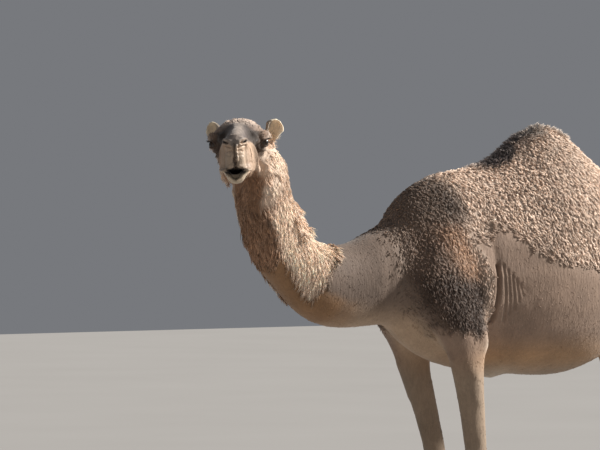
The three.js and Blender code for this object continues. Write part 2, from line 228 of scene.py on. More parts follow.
def zones(points, ragged=1.0):
    at = surroundings(points)
    x, z = at["x"], at["z"]
    wavy = ragged * ((grain(points, 0.09, 3) - 0.5) * 0.06 + (grain(points, 0.03, 4) - 0.5) * 0.04)
    body = (1 - at["head"]) * (1 - at["tail"])
    above = z - np.interp(x, woolEdge["x"], woolEdge["z"]) + wavy
    front = np.interp(z, patchEdge["z"], patchEdge["front"])
    rear = np.interp(z, patchEdge["z"], patchEdge["rear"])
    at["patch"] = ramp(x - front + wavy, -0.06, 0.14) * ramp(rear - x + 0.4 * wavy, -0.012, 0.02) * ramp(z + wavy, 1.185, 1.24) * body
    at["patch"] *= ramp(at["side"] + 0.4 * ramp(z, 1.45, 1.60), 0.09, 0.13)
    at["wool"] = ramp(above, -0.045, 0.055) * ramp(x + wavy, -0.36, -0.20) * body
    # The crest reaches down the hump's front slope; its dark grey there is partly the hair's own and partly painted
    # shade of the slope turned from the sun
    crest = ramp(-at["side"] + wavy, -0.072, -0.022) * ramp(x, 0.14, 0.22) * ramp(-x, -0.66, -0.56) * ramp(z, 1.90, 1.94)
    at["humpCrestAndPaintedShade"] = np.maximum(crest, ramp(z + wavy, 2.07, 2.11)) * body
    reach, dorsal = at["neckPlace"], at["dorsal"]
    rearEdge = np.interp(dorsal, [-0.9, -0.66, 0.45, 0.89], [4.25, 4.35, 4.3, 3.55])
    at["mantle"] = at["neck"] * ramp(dorsal + wavy, -0.90, -0.77) * ramp(reach - rearEdge + wavy * 4, -0.22, 0.10)
    nape = ramp(-at["lx"] + wavy, -0.038, 0.012) * ramp(-at["lz"] - at["lx"] * 0.4, -0.035, 0.005) * (1 - at["ear"])
    nape = np.maximum(nape, ramp(-at["lx"], 0.085, 0.12) * (1 - at["ear"]))
    under = ramp(-at["lz"] + wavy, 0.115, 0.145)
    jaw = under * ramp(-at["lx"] + wavy, -0.05, 0.0) * ramp(at["ls"] - at["lx"], 0.070, 0.095)
    at["mantle"] = np.maximum(at["mantle"], at["head"] * np.maximum(nape * (1 - under), jaw))
    throat = at["head"] * under * ramp(-at["lx"], -0.10, -0.04) * (1 - jaw)
    at["beard"] = np.maximum(at["neck"] * ramp(reach + wavy * 3, 5.65, 6.0) * ramp(-dorsal - wavy, 0.82, 0.90), throat)
    at["lowNeckAndBounceLight"] = at["neck"] * ramp(reach, 2.4, 3.6) * ramp(-dorsal, 0.36, 0.68) * (1 - at["beard"]) * (1 - at["mantle"])
    at["crown"] = at["head"] * ramp(at["lz"], 0.055, 0.085) * ramp(-at["lx"], -0.075, -0.02) * (1 - at["ear"])
    at["napeTuft"] = at["neck"] * ramp(dorsal, -0.05, 0.2) * bell(reach - 5.95, 0.35)
    at["combEdge"] = at["mantle"] * ramp(-reach - 0.35 * dorsal, -4.25, -4.05) * ramp(dorsal, 0.15, 0.4)
    mirrored = np.stack([at["lx"], at["ls"], at["lz"]], axis=1)
    at["brow"] = at["head"] * (1 - at["ear"]) * bell(np.linalg.norm((mirrored - (0.016, 0.106, 0.044)) * (0.7, 1, 1.25), axis=1), 0.030)
    at["crown"] = np.maximum(at["crown"], at["brow"])
    at["brush"] = at["tail"] * ramp(-z, -1.12, -1.06)
    at["leg"] = ramp(-z, -1.10, -0.98) * (1 - at["tail"])
    return at


coatDepth = {"short": 0.003, "leg": 0.0025, "face": 0.002, "ear": 0.0012, "wool": 0.011, "patch": 0.010, "humpCrestAndPaintedShade": 0.014,
             "mantle": 0.012, "beard": 0.018, "crown": 0.007, "brush": 0.008, "tail": 0.006}


def depthAt(points):
    at = zones(points, ragged=0)
    depth = mix(coatDepth["short"], coatDepth["leg"], at["leg"])
    depth = mix(depth, coatDepth["tail"], at["tail"])
    depth = mix(depth, coatDepth["brush"], at["brush"])
    depth = mix(depth, coatDepth["face"], at["head"])
    for zone in ("wool", "patch", "humpCrestAndPaintedShade", "mantle", "beard", "crown"):
        depth = mix(depth, coatDepth[zone], at[zone])
    return mix(depth, coatDepth["ear"], at["ear"])


# Skin: the flesh nodes made one mesh, fine on the head and coarser behind it
skinMake = {"bodyVoxel": 0.0190, "headVoxel": 0.0046, "cutBack": 0.03, "gap": 0.012, "bodySmooth": 14, "headSmooth": 22}


def oneOf(name, nodes):
    clearSelection()
    twins = []
    for node in nodes:
        twin = bpy.data.objects.new(name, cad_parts[node].data.copy())
        bpy.context.scene.collection.objects.link(twin)
        twins.append(twin)
    pick(*twins)
    bpy.ops.object.join()
    joined = bpy.context.object
    joined.data.materials.clear()
    bpy.ops.object.mode_set(mode="EDIT")
    bpy.ops.mesh.select_all(action="SELECT")
    bpy.ops.mesh.remove_doubles(threshold=0.00001)
    bpy.ops.mesh.normals_make_consistent(inside=False)
    bpy.ops.object.mode_set(mode="OBJECT")
    return joined


def remesh(thing, size):
    pick(thing)
    thing.data.remesh_voxel_size = size
    bpy.ops.object.voxel_remesh()


def cutAway(thing, at, ahead, clearAhead):
    pick(thing)
    bpy.ops.object.mode_set(mode="EDIT")
    bpy.ops.mesh.select_all(action="SELECT")
    bpy.ops.mesh.bisect(plane_co=at, plane_no=ahead, use_fill=False, clear_inner=not clearAhead, clear_outer=clearAhead)
    bpy.ops.object.mode_set(mode="OBJECT")


def splitFaces(thing, chosen, cuts=1):
    # chosen is one flag for each face
    pick(thing)
    bpy.ops.object.mode_set(mode="EDIT")
    bpy.ops.mesh.select_mode(type="FACE")
    bpy.ops.mesh.select_all(action="DESELECT")
    bpy.ops.object.mode_set(mode="OBJECT")
    thing.data.polygons.foreach_set("select", chosen)
    bpy.ops.object.mode_set(mode="EDIT")
    bpy.ops.mesh.subdivide(number_cuts=cuts)
    bpy.ops.object.mode_set(mode="OBJECT")


def faceCentres(mesh):
    values = np.empty(len(mesh.polygons) * 3, np.float32)
    mesh.polygons.foreach_get("center", values)
    return values.reshape(-1, 3).astype(float)


def weigh(thing, name, weights):
    group = thing.vertex_groups.new(name=name)
    steps = np.round(weights * 10).astype(int)
    for step in range(1, 11):
        group.add(np.nonzero(steps == step)[0].tolist(), step / 10, "REPLACE")
    return group


flesh = [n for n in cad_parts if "nail" not in n and "eye" not in n]
headFlesh = ["head", "ear_left", "ear_right", "neck_upper", "eye_left", "eye_right"]
body = oneOf("body", flesh)
remesh(body, skinMake["bodyVoxel"])
skull = oneOf("skull", headFlesh)
remesh(skull, skinMake["headVoxel"])
cutAt = napeAt - napeAhead * skinMake["cutBack"]
cutAway(body, cutAt - napeAhead * skinMake["gap"], napeAhead, True)
cutAway(skull, cutAt, napeAhead, False)
say(f"remeshed body {len(body.data.polygons)} and head {len(skull.data.polygons)} faces")
low = faceCentres(body.data)[:, 2] < 0.62
splitFaces(body, low)
pick(body, skull)
bpy.ops.object.join()
skin = body
skin.name = skin.data.name = "skin"
bpy.ops.object.mode_set(mode="EDIT")
bpy.ops.mesh.select_mode(type="EDGE")
bpy.ops.mesh.select_all(action="DESELECT")
bpy.ops.mesh.select_non_manifold(extend=False, use_wire=False, use_boundary=True, use_multi_face=False,
                                 use_non_contiguous=False, use_verts=False)
bpy.ops.mesh.bridge_edge_loops()
bpy.ops.object.mode_set(mode="OBJECT")
local = inHead(faceCentres(skin.data))
nearEye = np.minimum(np.linalg.norm(local - eyeSpots[1], axis=1), np.linalg.norm(local - eyeSpots[-1], axis=1))
splitFaces(skin, nearEye < 0.038)
local = inHead(faceCentres(skin.data))
nearEye = np.minimum(np.linalg.norm(local - eyeSpots[1], axis=1), np.linalg.norm(local - eyeSpots[-1], axis=1))
splitFaces(skin, (nearEye < 0.031) | ((local[:, 0] > 0.245) & (local[:, 2] < 0.03) & (local[:, 2] > -0.15)))
say(f"skin {len(skin.data.polygons)} faces")

centres = faceCentres(skin.data)
folded = (centres[:, 0] > 0.02) & (centres[:, 0] < 0.28) & (centres[:, 2] > 1.16) & (centres[:, 2] < 1.58)
splitFaces(skin, folded & (np.abs(centres[:, 1] - 0.05) > 0.12))
centres = faceCentres(skin.data)
folded = (centres[:, 0] > 0.10) & (centres[:, 0] < 0.26) & (centres[:, 2] > 1.20) & (centres[:, 2] < 1.52)
splitFaces(skin, folded & (np.abs(centres[:, 1] - 0.05) > 0.12))
say(f"skin {len(skin.data.polygons)} faces with the folds' share")


def relax(name, weights, factor, rounds):
    weigh(skin, name, weights)
    applyModifier(skin, "SMOOTH", factor=factor, iterations=rounds, vertex_group=name)
    skin.vertex_groups.clear()


# Smooth where the parts meet, then draw the skin in by the depth of the coat
points = readPoints(skin.data)
at = surroundings(points)
relax("loose", np.clip(1 - at["head"], 0, 1) * ramp(points[:, 2], 0.12, 0.2), 0.6, skinMake["bodySmooth"])
chest = bell((points[:, 0] + 0.28) / 0.16, 1.0) * bell((points[:, 2] - 1.22) / 0.14, 1.0)
relax("chestLoose", chest * ramp(points[:, 2], 1.06, 1.14), 0.7, 34)
inMouth = ramp(at["lx"], 0.15, 0.20) * bell(at["lz"] + 0.118, 0.026)
relax("headLoose", at["head"] * (1 - 0.75 * at["ear"]) * (1 - 0.8 * inMouth), 0.6, skinMake["headSmooth"])
relax("all", np.full(len(points), 0.5), 0.5, 3)
points = readPoints(skin.data)
depth = depthAt(points)
local = inHead(points)
for side, spot in eyeSpots.items():
    depth *= ramp(np.linalg.norm(local - spot, axis=1), 0.028, 0.05)
depth *= ramp(points[:, 2], 0.004, 0.03)
writePoints(skin.data, points - readNormals(skin.data) * depth[:, None])
relax("drawn", np.clip(1 - at["head"], 0, 1), 0.5, 5)
say("skin drawn in")

# Strokes: places on the skin pushed out or in along a line, the head's in its own directions, left side only.
# Each is: line, width and push
headStrokes = {
    "brow": ([(0.066, 0.070, 0.032), (0.036, 0.098, 0.042), (0.000, 0.118, 0.042), (-0.034, 0.126, 0.026)], 0.014, 0.008),
    "browCrease": ([(0.055, 0.084, 0.020), (0.020, 0.114, 0.027), (-0.020, 0.124, 0.020)], 0.0045, -0.004),
    "browLine": ([(0.060, 0.070, 0.052), (0.020, 0.098, 0.060), (-0.030, 0.118, 0.050)], 0.005, -0.0035),
    "tearHollow": ([(0.062, 0.082, -0.010), (0.054, 0.088, -0.034), (0.036, 0.094, -0.058)], 0.015, -0.011),
    "underEye": ([(0.048, 0.096, -0.030), (0.010, 0.118, -0.036), (-0.030, 0.122, -0.026)], 0.007, 0.004),
    "underEyeLine": ([(0.040, 0.098, -0.042), (0.005, 0.118, -0.048), (-0.035, 0.122, -0.036)], 0.004, -0.003),
    "cheekEdge": ([(0.160, 0.060, 0.002), (0.098, 0.070, -0.025), (0.056, 0.082, -0.065), (0.030, 0.087, -0.100),
                   (0.036, 0.078, -0.136)], 0.012, 0.008),
    "cheekGroove": ([(0.090, 0.072, -0.010), (0.060, 0.080, -0.035), (0.030, 0.088, -0.072), (0.006, 0.088, -0.108),
                     (0.012, 0.078, -0.140)], 0.010, -0.008),
    "cheekFold": ([(0.150, 0.064, -0.060), (0.110, 0.072, -0.095), (0.090, 0.070, -0.130)], 0.006, -0.005),
    "bridgeSide": ([(0.095, 0.060, 0.030), (0.150, 0.054, 0.016), (0.215, 0.052, 0.008)], 0.020, -0.007),
    "bridge": ([(0.060, 0.010, 0.082), (0.150, 0.010, 0.062), (0.235, 0.012, 0.046)], 0.020, 0.004),
    "lobeEdge": ([(0.286, 0.060, -0.020), (0.292, 0.060, -0.060), (0.288, 0.056, -0.096)], 0.0085, -0.004),
    "lipPuff": ([(0.300, 0.026, -0.066), (0.303, 0.027, -0.088)], 0.018, 0.005),
    "nostrilRim": ([(0.310, 0.018, 0.004), (0.297, 0.036, 0.012), (0.275, 0.054, 0.017), (0.255, 0.062, 0.014)], 0.007, 0.006),
    "nostrilFloor": ([(0.312, 0.030, -0.018), (0.300, 0.048, -0.012), (0.280, 0.062, -0.006)], 0.006, 0.004),
    "nostril": ([(0.303, 0.034, -0.004), (0.292, 0.045, 0.000), (0.280, 0.053, 0.004)], 0.0050, -0.018),
    "lipLine": ([(0.312, 0.016, -0.026), (0.303, 0.034, -0.022), (0.285, 0.056, -0.022)], 0.0036, -0.0065),
    "lipLineLow": ([(0.314, 0.014, -0.041), (0.308, 0.034, -0.037), (0.300, 0.050, -0.039)], 0.0036, -0.0055),
    "lipLineLast": ([(0.316, 0.020, -0.057), (0.309, 0.046, -0.055)], 0.0036, -0.0025),
    "lowerLip": ([(0.300, 0.052, -0.116), (0.306, 0.040, -0.131), (0.308, 0.022, -0.146), (0.309, 0.000, -0.154)], 0.0060, 0.005),
    "upperLip": ([(0.318, 0.008, -0.097), (0.316, 0.028, -0.101), (0.306, 0.048, -0.100)], 0.0060, 0.003),
    "chin": ([(0.270, 0.012, -0.170), (0.230, 0.012, -0.170)], 0.022, 0.004),
    "temple": ([(-0.050, 0.100, 0.062), (-0.090, 0.104, 0.040)], 0.022, -0.006),
    "jawLine": ([(0.100, 0.056, -0.150), (0.020, 0.066, -0.168), (-0.060, 0.078, -0.160)], 0.016, 0.004),
}
headStrokes["philtrumRim"] = ([(0.318, 0.0095, -0.016), (0.322, 0.0095, -0.050), (0.320, 0.012, -0.078)], 0.0036, 0.0050)
middleStrokes = {
    "philtrum": ([(0.316, 0, -0.008), (0.318, 0, -0.020), (0.322, 0, -0.060), (0.320, 0, -0.092)], 0.0048, -0.008),
    "lipSplit": ([(0.319, 0, -0.070), (0.319, 0, -0.098)], 0.0060, -0.009),
    "foreheadDip": ([(0.040, 0, 0.094), (0.090, 0, 0.080)], 0.020, -0.004),
}
bodyStrokes = {
    "neckWrinkleA": ([(-0.375, -0.12, 1.47), (-0.372, -0.12, 1.38), (-0.362, -0.12, 1.30)], 0.009, -0.005),
    "neckWrinkleB": ([(-0.405, -0.12, 1.45), (-0.402, -0.12, 1.38), (-0.395, -0.12, 1.32)], 0.008, -0.004),
    "neckFoldA": ([(-0.345, -0.1, 1.64), (-0.335, -0.12, 1.52), (-0.350, -0.12, 1.38)], 0.022, -0.005),
    "neckFoldB": ([(-0.420, -0.1, 1.58), (-0.415, -0.12, 1.48), (-0.430, -0.12, 1.38)], 0.020, -0.003),
    "shoulderRim": ([(-0.010, -0.15, 1.66), (0.030, -0.18, 1.56), (0.062, -0.2, 1.46), (0.072, -0.2, 1.34), (0.050, -0.2, 1.22)], 0.036, 0.008),
    "shoulderSide": ([(0.095, -0.12, 1.74), (0.110, -0.15, 1.62), (0.120, -0.2, 1.50)], 0.020, -0.005),
    "shoulderStep": ([(0.122, -0.2, 1.50), (0.127, -0.2, 1.38), (0.114, -0.2, 1.27), (0.085, -0.2, 1.18)], 0.0085, -0.020),
    "shoulderPoint": ([(-0.300, -0.12, 1.40), (-0.290, -0.14, 1.30)], 0.060, 0.010),
    "forearm": ([(-0.02, -0.25, 1.02), (0.02, -0.23, 0.90)], 0.030, 0.006),
    "elbow": ([(0.050, -0.21, 1.165), (0.058, -0.21, 1.150)], 0.028, 0.010),
    "knee": ([(0.035, -0.12, 0.66), (0.040, -0.12, 0.60)], 0.024, 0.004),
    "stifle": ([(1.03, -0.16, 1.02), (1.02, -0.16, 0.96)], 0.035, 0.006),
    "thigh": ([(1.20, -0.2, 1.45), (1.17, -0.2, 1.20), (1.16, -0.2, 1.02)], 0.030, -0.006),
    "hockCord": ([(1.29, -0.11, 0.80), (1.32, -0.10, 0.70)], 0.014, 0.004),
}


for fold in range(6):
    start, ripple = 0.150 + 0.022 * fold, 0.006 * (fold % 2)
    line = [(start, -0.2, 1.50 - 0.02 * fold), (start + 0.014, -0.2, 1.38), (start + 0.020, -0.2, 1.25 + 0.03 * fold + ripple)]
    bodyStrokes[f"flankFold{fold}"] = (line, 0.0062, -0.0046 + 0.0005 * fold)


def settled(line, rounds=3):
    # a finer line with each point on the skin
    line = np.asarray(line, float)
    for _ in range(rounds):
        half = (line[1:] + line[:-1]) / 2
        finer = np.empty((len(line) + len(half), 3))
        finer[0::2], finer[1::2] = line, half
        line = finer
    spots = [skin.closest_point_on_mesh(Vector(p), distance=0.3) for p in line]
    return np.array([found[1] if found[0] else p for p, found in zip(line, spots)])


def stroked(points, strokes):
    push = np.zeros(len(points))
    for line, width, amount in strokes:
        edge = 3 * width
        inside = np.all((points > line.min(0) - edge) & (points < line.max(0) + edge), axis=1)
        near = np.nonzero(inside)[0]
        away, _, _ = towards(points[near], line)
        push[near] += amount * bell(away, width)
    return push


def lipHollow(at):
    # the inner face of the lower lip, open to the front
    down = np.clip((-at["lz"] - 0.108) / 0.050, 0, 1)
    return ramp(0.049 * (1 - down ** 2.0) - at["ls"], -0.003, 0.005) * ramp(at["lx"], 0.25, 0.28) * ramp(-at["lz"], 0.114, 0.124)


# The lower lip hangs open, and the ears' tips are round
points = readPoints(skin.data)
local = inHead(points)
at = surroundings(points)
hang = at["head"] * ramp(at["lx"], 0.20, 0.29) * ramp(-at["lz"], 0.116, 0.130) * ramp(-at["lz"], -0.19, -0.150)
hang *= np.clip(1 - (at["ls"] / 0.050) ** 1.2, 0, 1)
local[:, 2] += 0.002 * hang
corner = at["head"] * ramp(at["lx"], 0.20, 0.27) * ramp(at["ls"], 0.008, 0.040) * ramp(-at["ls"], -0.085, -0.060)
local[:, 2] += 0.016 * corner * ramp(-at["lz"], 0.119, 0.128) * ramp(at["lz"], -0.165, -0.140)
local[:, 0] -= 0.012 * at["head"] * lipHollow(at)
local[:, 1] *= 1 - 0.13 * at["head"] * ramp(at["lx"], 0.20, 0.28) * ramp(at["lz"], -0.112, -0.085) * ramp(-at["lz"], -0.05, 0.0)
local[:, 2] -= 0.004 * corner * ramp(at["lz"], -0.115, -0.108) * ramp(-at["lz"], 0.070, 0.095)
# The upper lip: two round lobes, parted below the nose
lobes = at["head"] * ramp(at["lx"], 0.23, 0.28) * ramp(at["lz"], -0.117, -0.107) * ramp(-at["lz"], 0.0, 0.04)
local[:, 0] -= lobes * (0.036 * (np.clip(at["ls"] - 0.004, 0, 0.056) / 0.056) ** 1.15 + 0.006 * bell(at["ls"], 0.008))
local[:, 2] += lobes * ramp(-at["lz"], 0.07, 0.10) * (0.007 * bell(at["ls"], 0.008) + 0.007 * ramp(at["ls"], 0.034, 0.052))
for side, ear in earStands.items():
    root, up = np.array(ear["root"]), unit(np.array(ear["up"]))
    rise = (local - root) @ up
    axis = root + rise[:, None] * up
    tip = at["ear"] * (at["ly"] * side > 0) * ramp(rise, 0.030, 0.090)
    local = np.where(tip[:, None] > 0, axis + (local - axis) * (1 + ear["widen"] * tip)[:, None] - up * (0.26 * tip * (rise - 0.055))[:, None], local)
writePoints(skin.data, headAt + fromHead(local))

points = readPoints(skin.data)
normals = readNormals(skin.data)
local = inHead(points)
onHead = np.nonzero(surroundings(points)["head"] > 0.05)[0]
strokes = []
for side in (1, -1):
    for line, width, amount in headStrokes.values():
        mirrored = np.asarray(line, float) * (1, side, 1)
        strokes.append((settled(headAt + fromHead(mirrored)), width, amount))
for line, width, amount in middleStrokes.values():
    strokes.append((settled(headAt + fromHead(line)), width, amount))
points[onHead] += normals[onHead] * stroked(points[onHead], strokes)[:, None]
onBody = np.nonzero(points[:, 0] > -0.60)[0]
strokes = []
for side in (1, -1):
    for line, width, amount in bodyStrokes.values():
        mirrored = np.asarray(line, float) * (1, side, 1) + (0 if side == 1 else -0.05, 0, 0)
        mirrored[:, 1] += 0 if side == 1 else 0.10
        strokes.append((settled(mirrored), width, amount))
points[onBody] += normals[onBody] * stroked(points[onBody], strokes)[:, None]
writePoints(skin.data, points)
say("strokes drawn")

# Eyelids: round each eye the skin is laid over the ball, and inside the lids it drops behind it
lids = {"gaze": (0.52, 0.85, 0.04), "front": 72, "rear": 60, "upper": 38, "lower": 34, "roll": 0.0034, "behind": 0.006}
eyeAxes = {}
points = readPoints(skin.data)
local = inHead(points)
for side, spot in eyeSpots.items():
    gaze = unit(np.array(lids["gaze"]) * (1, side, 1))
    rise = np.array([0.10, 0, 1.0])
    rise = unit(rise - (rise @ gaze) * gaze)
    ahead = np.cross(rise, gaze) * -side
    ahead = ahead if ahead[0] > 0 else -ahead
    eyeAxes[side] = (gaze, ahead, rise)
    off = local - spot
    reach = np.linalg.norm(off, axis=1)
    near = np.nonzero(reach < 0.062)[0]
    way = unit(off[near])
    outward = way @ gaze
    level = np.degrees(np.arctan2(way @ ahead, np.maximum(outward, 0.02)))
    rising = np.degrees(np.arcsin(np.clip(way @ rise, -1, 1)))
    across = np.where(level > 0, level / lids["front"], level / lids["rear"])
    half = np.sqrt(np.clip(1 - across ** 2, 0, 1)) ** 1.25
    slope = -6 * across
    tall = np.where(rising > slope, lids["upper"], lids["lower"])
    spread = np.sqrt(across ** 2 + ((rising - slope) / tall) ** 2 * (1 + 0.5 * across ** 2))
    ball = eyeRadius
    laid = np.interp(spread, [0, 0.93, 1.0, 1.08, 1.35, 1.55, 1.75, 2.3],
                     [ball - lids["behind"], ball - lids["behind"], ball + 0.0012, ball + lids["roll"],
                      ball + lids["roll"] * 1.15, ball + 0.0022, ball + 0.0046, ball + 0.009])
    hold = ramp(-spread, -2.2, -1.45) * ramp(outward, 0.0, 0.15)
    hold = np.where(spread < 1.05, ramp(outward, 0.0, 0.1), hold)
    newReach = mix(reach[near], laid, hold)
    local[near] = spot + way * newReach[:, None]
points = headAt + fromHead(local)
writePoints(skin.data, points)
say("lids laid")

# Colours shared by skin and coat, in linear light: mostly the animal's own, and some carry painted shade, painted
# shadow and painted bounce light where they are used
tones = {
    "tan": (0.67, 0.515, 0.410), "flank": (0.288, 0.197, 0.144), "belly": (0.40, 0.235, 0.118), "leg": (0.30, 0.220, 0.155),
    "neckBase": (0.124, 0.085, 0.063), "chest": (0.46, 0.325, 0.220), "mantle": (0.84, 0.650, 0.510),
    "beard": (0.410, 0.225, 0.125), "lowNeckAndBounceLight": (0.285, 0.155, 0.072), "patch": (0.072, 0.044, 0.031),
    "patchRed": (0.430, 0.262, 0.168), "patchTop": (0.195, 0.138, 0.104), "patchEdge": (0.250, 0.182, 0.140),
    "patchMiddle": (0.200, 0.135, 0.100),
    "humpCrestAndPaintedShade": (0.165, 0.145, 0.145), "humpTop": (0.420, 0.370, 0.330), "brush": (0.090, 0.062, 0.045),
    "face": (0.50, 0.350, 0.245), "bridge": (0.245, 0.200, 0.172), "brow": (0.25, 0.158, 0.105), "darkFurAndPaintedShadow": (0.026, 0.016, 0.011), "bridgeDarkAndPaintedShade": (0.080, 0.064, 0.062), "eyeRing": (0.060, 0.038, 0.030), "lips": (0.43, 0.325, 0.237),
    "lowerLip": (0.58, 0.465, 0.335), "lipInside": (0.240, 0.185, 0.125), "earInside": (0.70, 0.550, 0.380),
    "earEdge": (0.86, 0.74, 0.56), "crown": (0.62, 0.490, 0.405),
    "crownSpotAndEarShadow": (0.110, 0.080, 0.066), "mouthShadow": (0.012, 0.009, 0.009), "nostril": (0.030, 0.020, 0.018),
    "callus": (0.56, 0.480, 0.390), "sole": (0.20, 0.165, 0.135), "cheekDarkAndPaintedShade": (0.20, 0.120, 0.080)}
spots = [
    # place in the head's directions, reach, tone, strength: both sides
    ((0.026, 0.110, -0.004), 0.040, "eyeRing", 1.0), ((0.054, 0.088, -0.022), 0.032, "eyeRing", 0.95),
    # The dark spots under the eye and beside the bridge are darker hair with painted shade of the hollows there
    ((0.040, 0.092, -0.056), 0.032, "cheekDarkAndPaintedShade", 0.95), ((0.092, 0.066, 0.005), 0.036, "cheekDarkAndPaintedShade", 0.75),
    # The dark spot beside each ear's root is painted shadow in the gap between ear and crown; the two small dark spots
    # nearer the middle are marks in the hair
    ((0.025, 0.105, 0.044), 0.040, "brow", 0.95), ((-0.108, 0.090, 0.030), 0.020, "crownSpotAndEarShadow", 0.5),
    ((0.022, 0.028, 0.094), 0.012, "crownSpotAndEarShadow", 0.8),
    ((0.040, 0.044, 0.084), 0.013, "crownSpotAndEarShadow", 0.6), ((0.055, 0.058, 0.064), 0.015, "cheekDarkAndPaintedShade", 0.7),
    # These near-black spots beside the bridge and under the eyes are painted shadow of the hollows under the brow and
    # cheekbone, over darker hair
    ((0.098, 0.060, 0.020), 0.036, "darkFurAndPaintedShadow", 0.9), ((0.074, 0.060, 0.044), 0.026, "darkFurAndPaintedShadow", 0.9),
    ((0.078, 0.073, 0.008), 0.036, "darkFurAndPaintedShadow", 0.95), ((0.060, 0.081, -0.026), 0.026, "darkFurAndPaintedShadow", 0.95),
    ((0.028, 0.096, -0.042), 0.024, "darkFurAndPaintedShadow", 0.8), ((0.071, 0.040, 0.066), 0.012, "darkFurAndPaintedShadow", 0.7),
    ((0.060, 0.078, 0.020), 0.020, "darkFurAndPaintedShadow", 1.0), ((0.070, 0.068, 0.024), 0.020, "darkFurAndPaintedShadow", 0.9)]


def nostrilGap(at):
    # how far each point is from the nostril's slit, seen from the front
    level = np.stack([np.zeros(len(at["lx"])), at["ls"], at["lz"]], axis=1)
    line = np.array(headStrokes["nostril"][0]) * (0, 1, 1)
    return towards(level, line)[0] + 0.1 * ramp(-at["lx"], -0.26, -0.24)


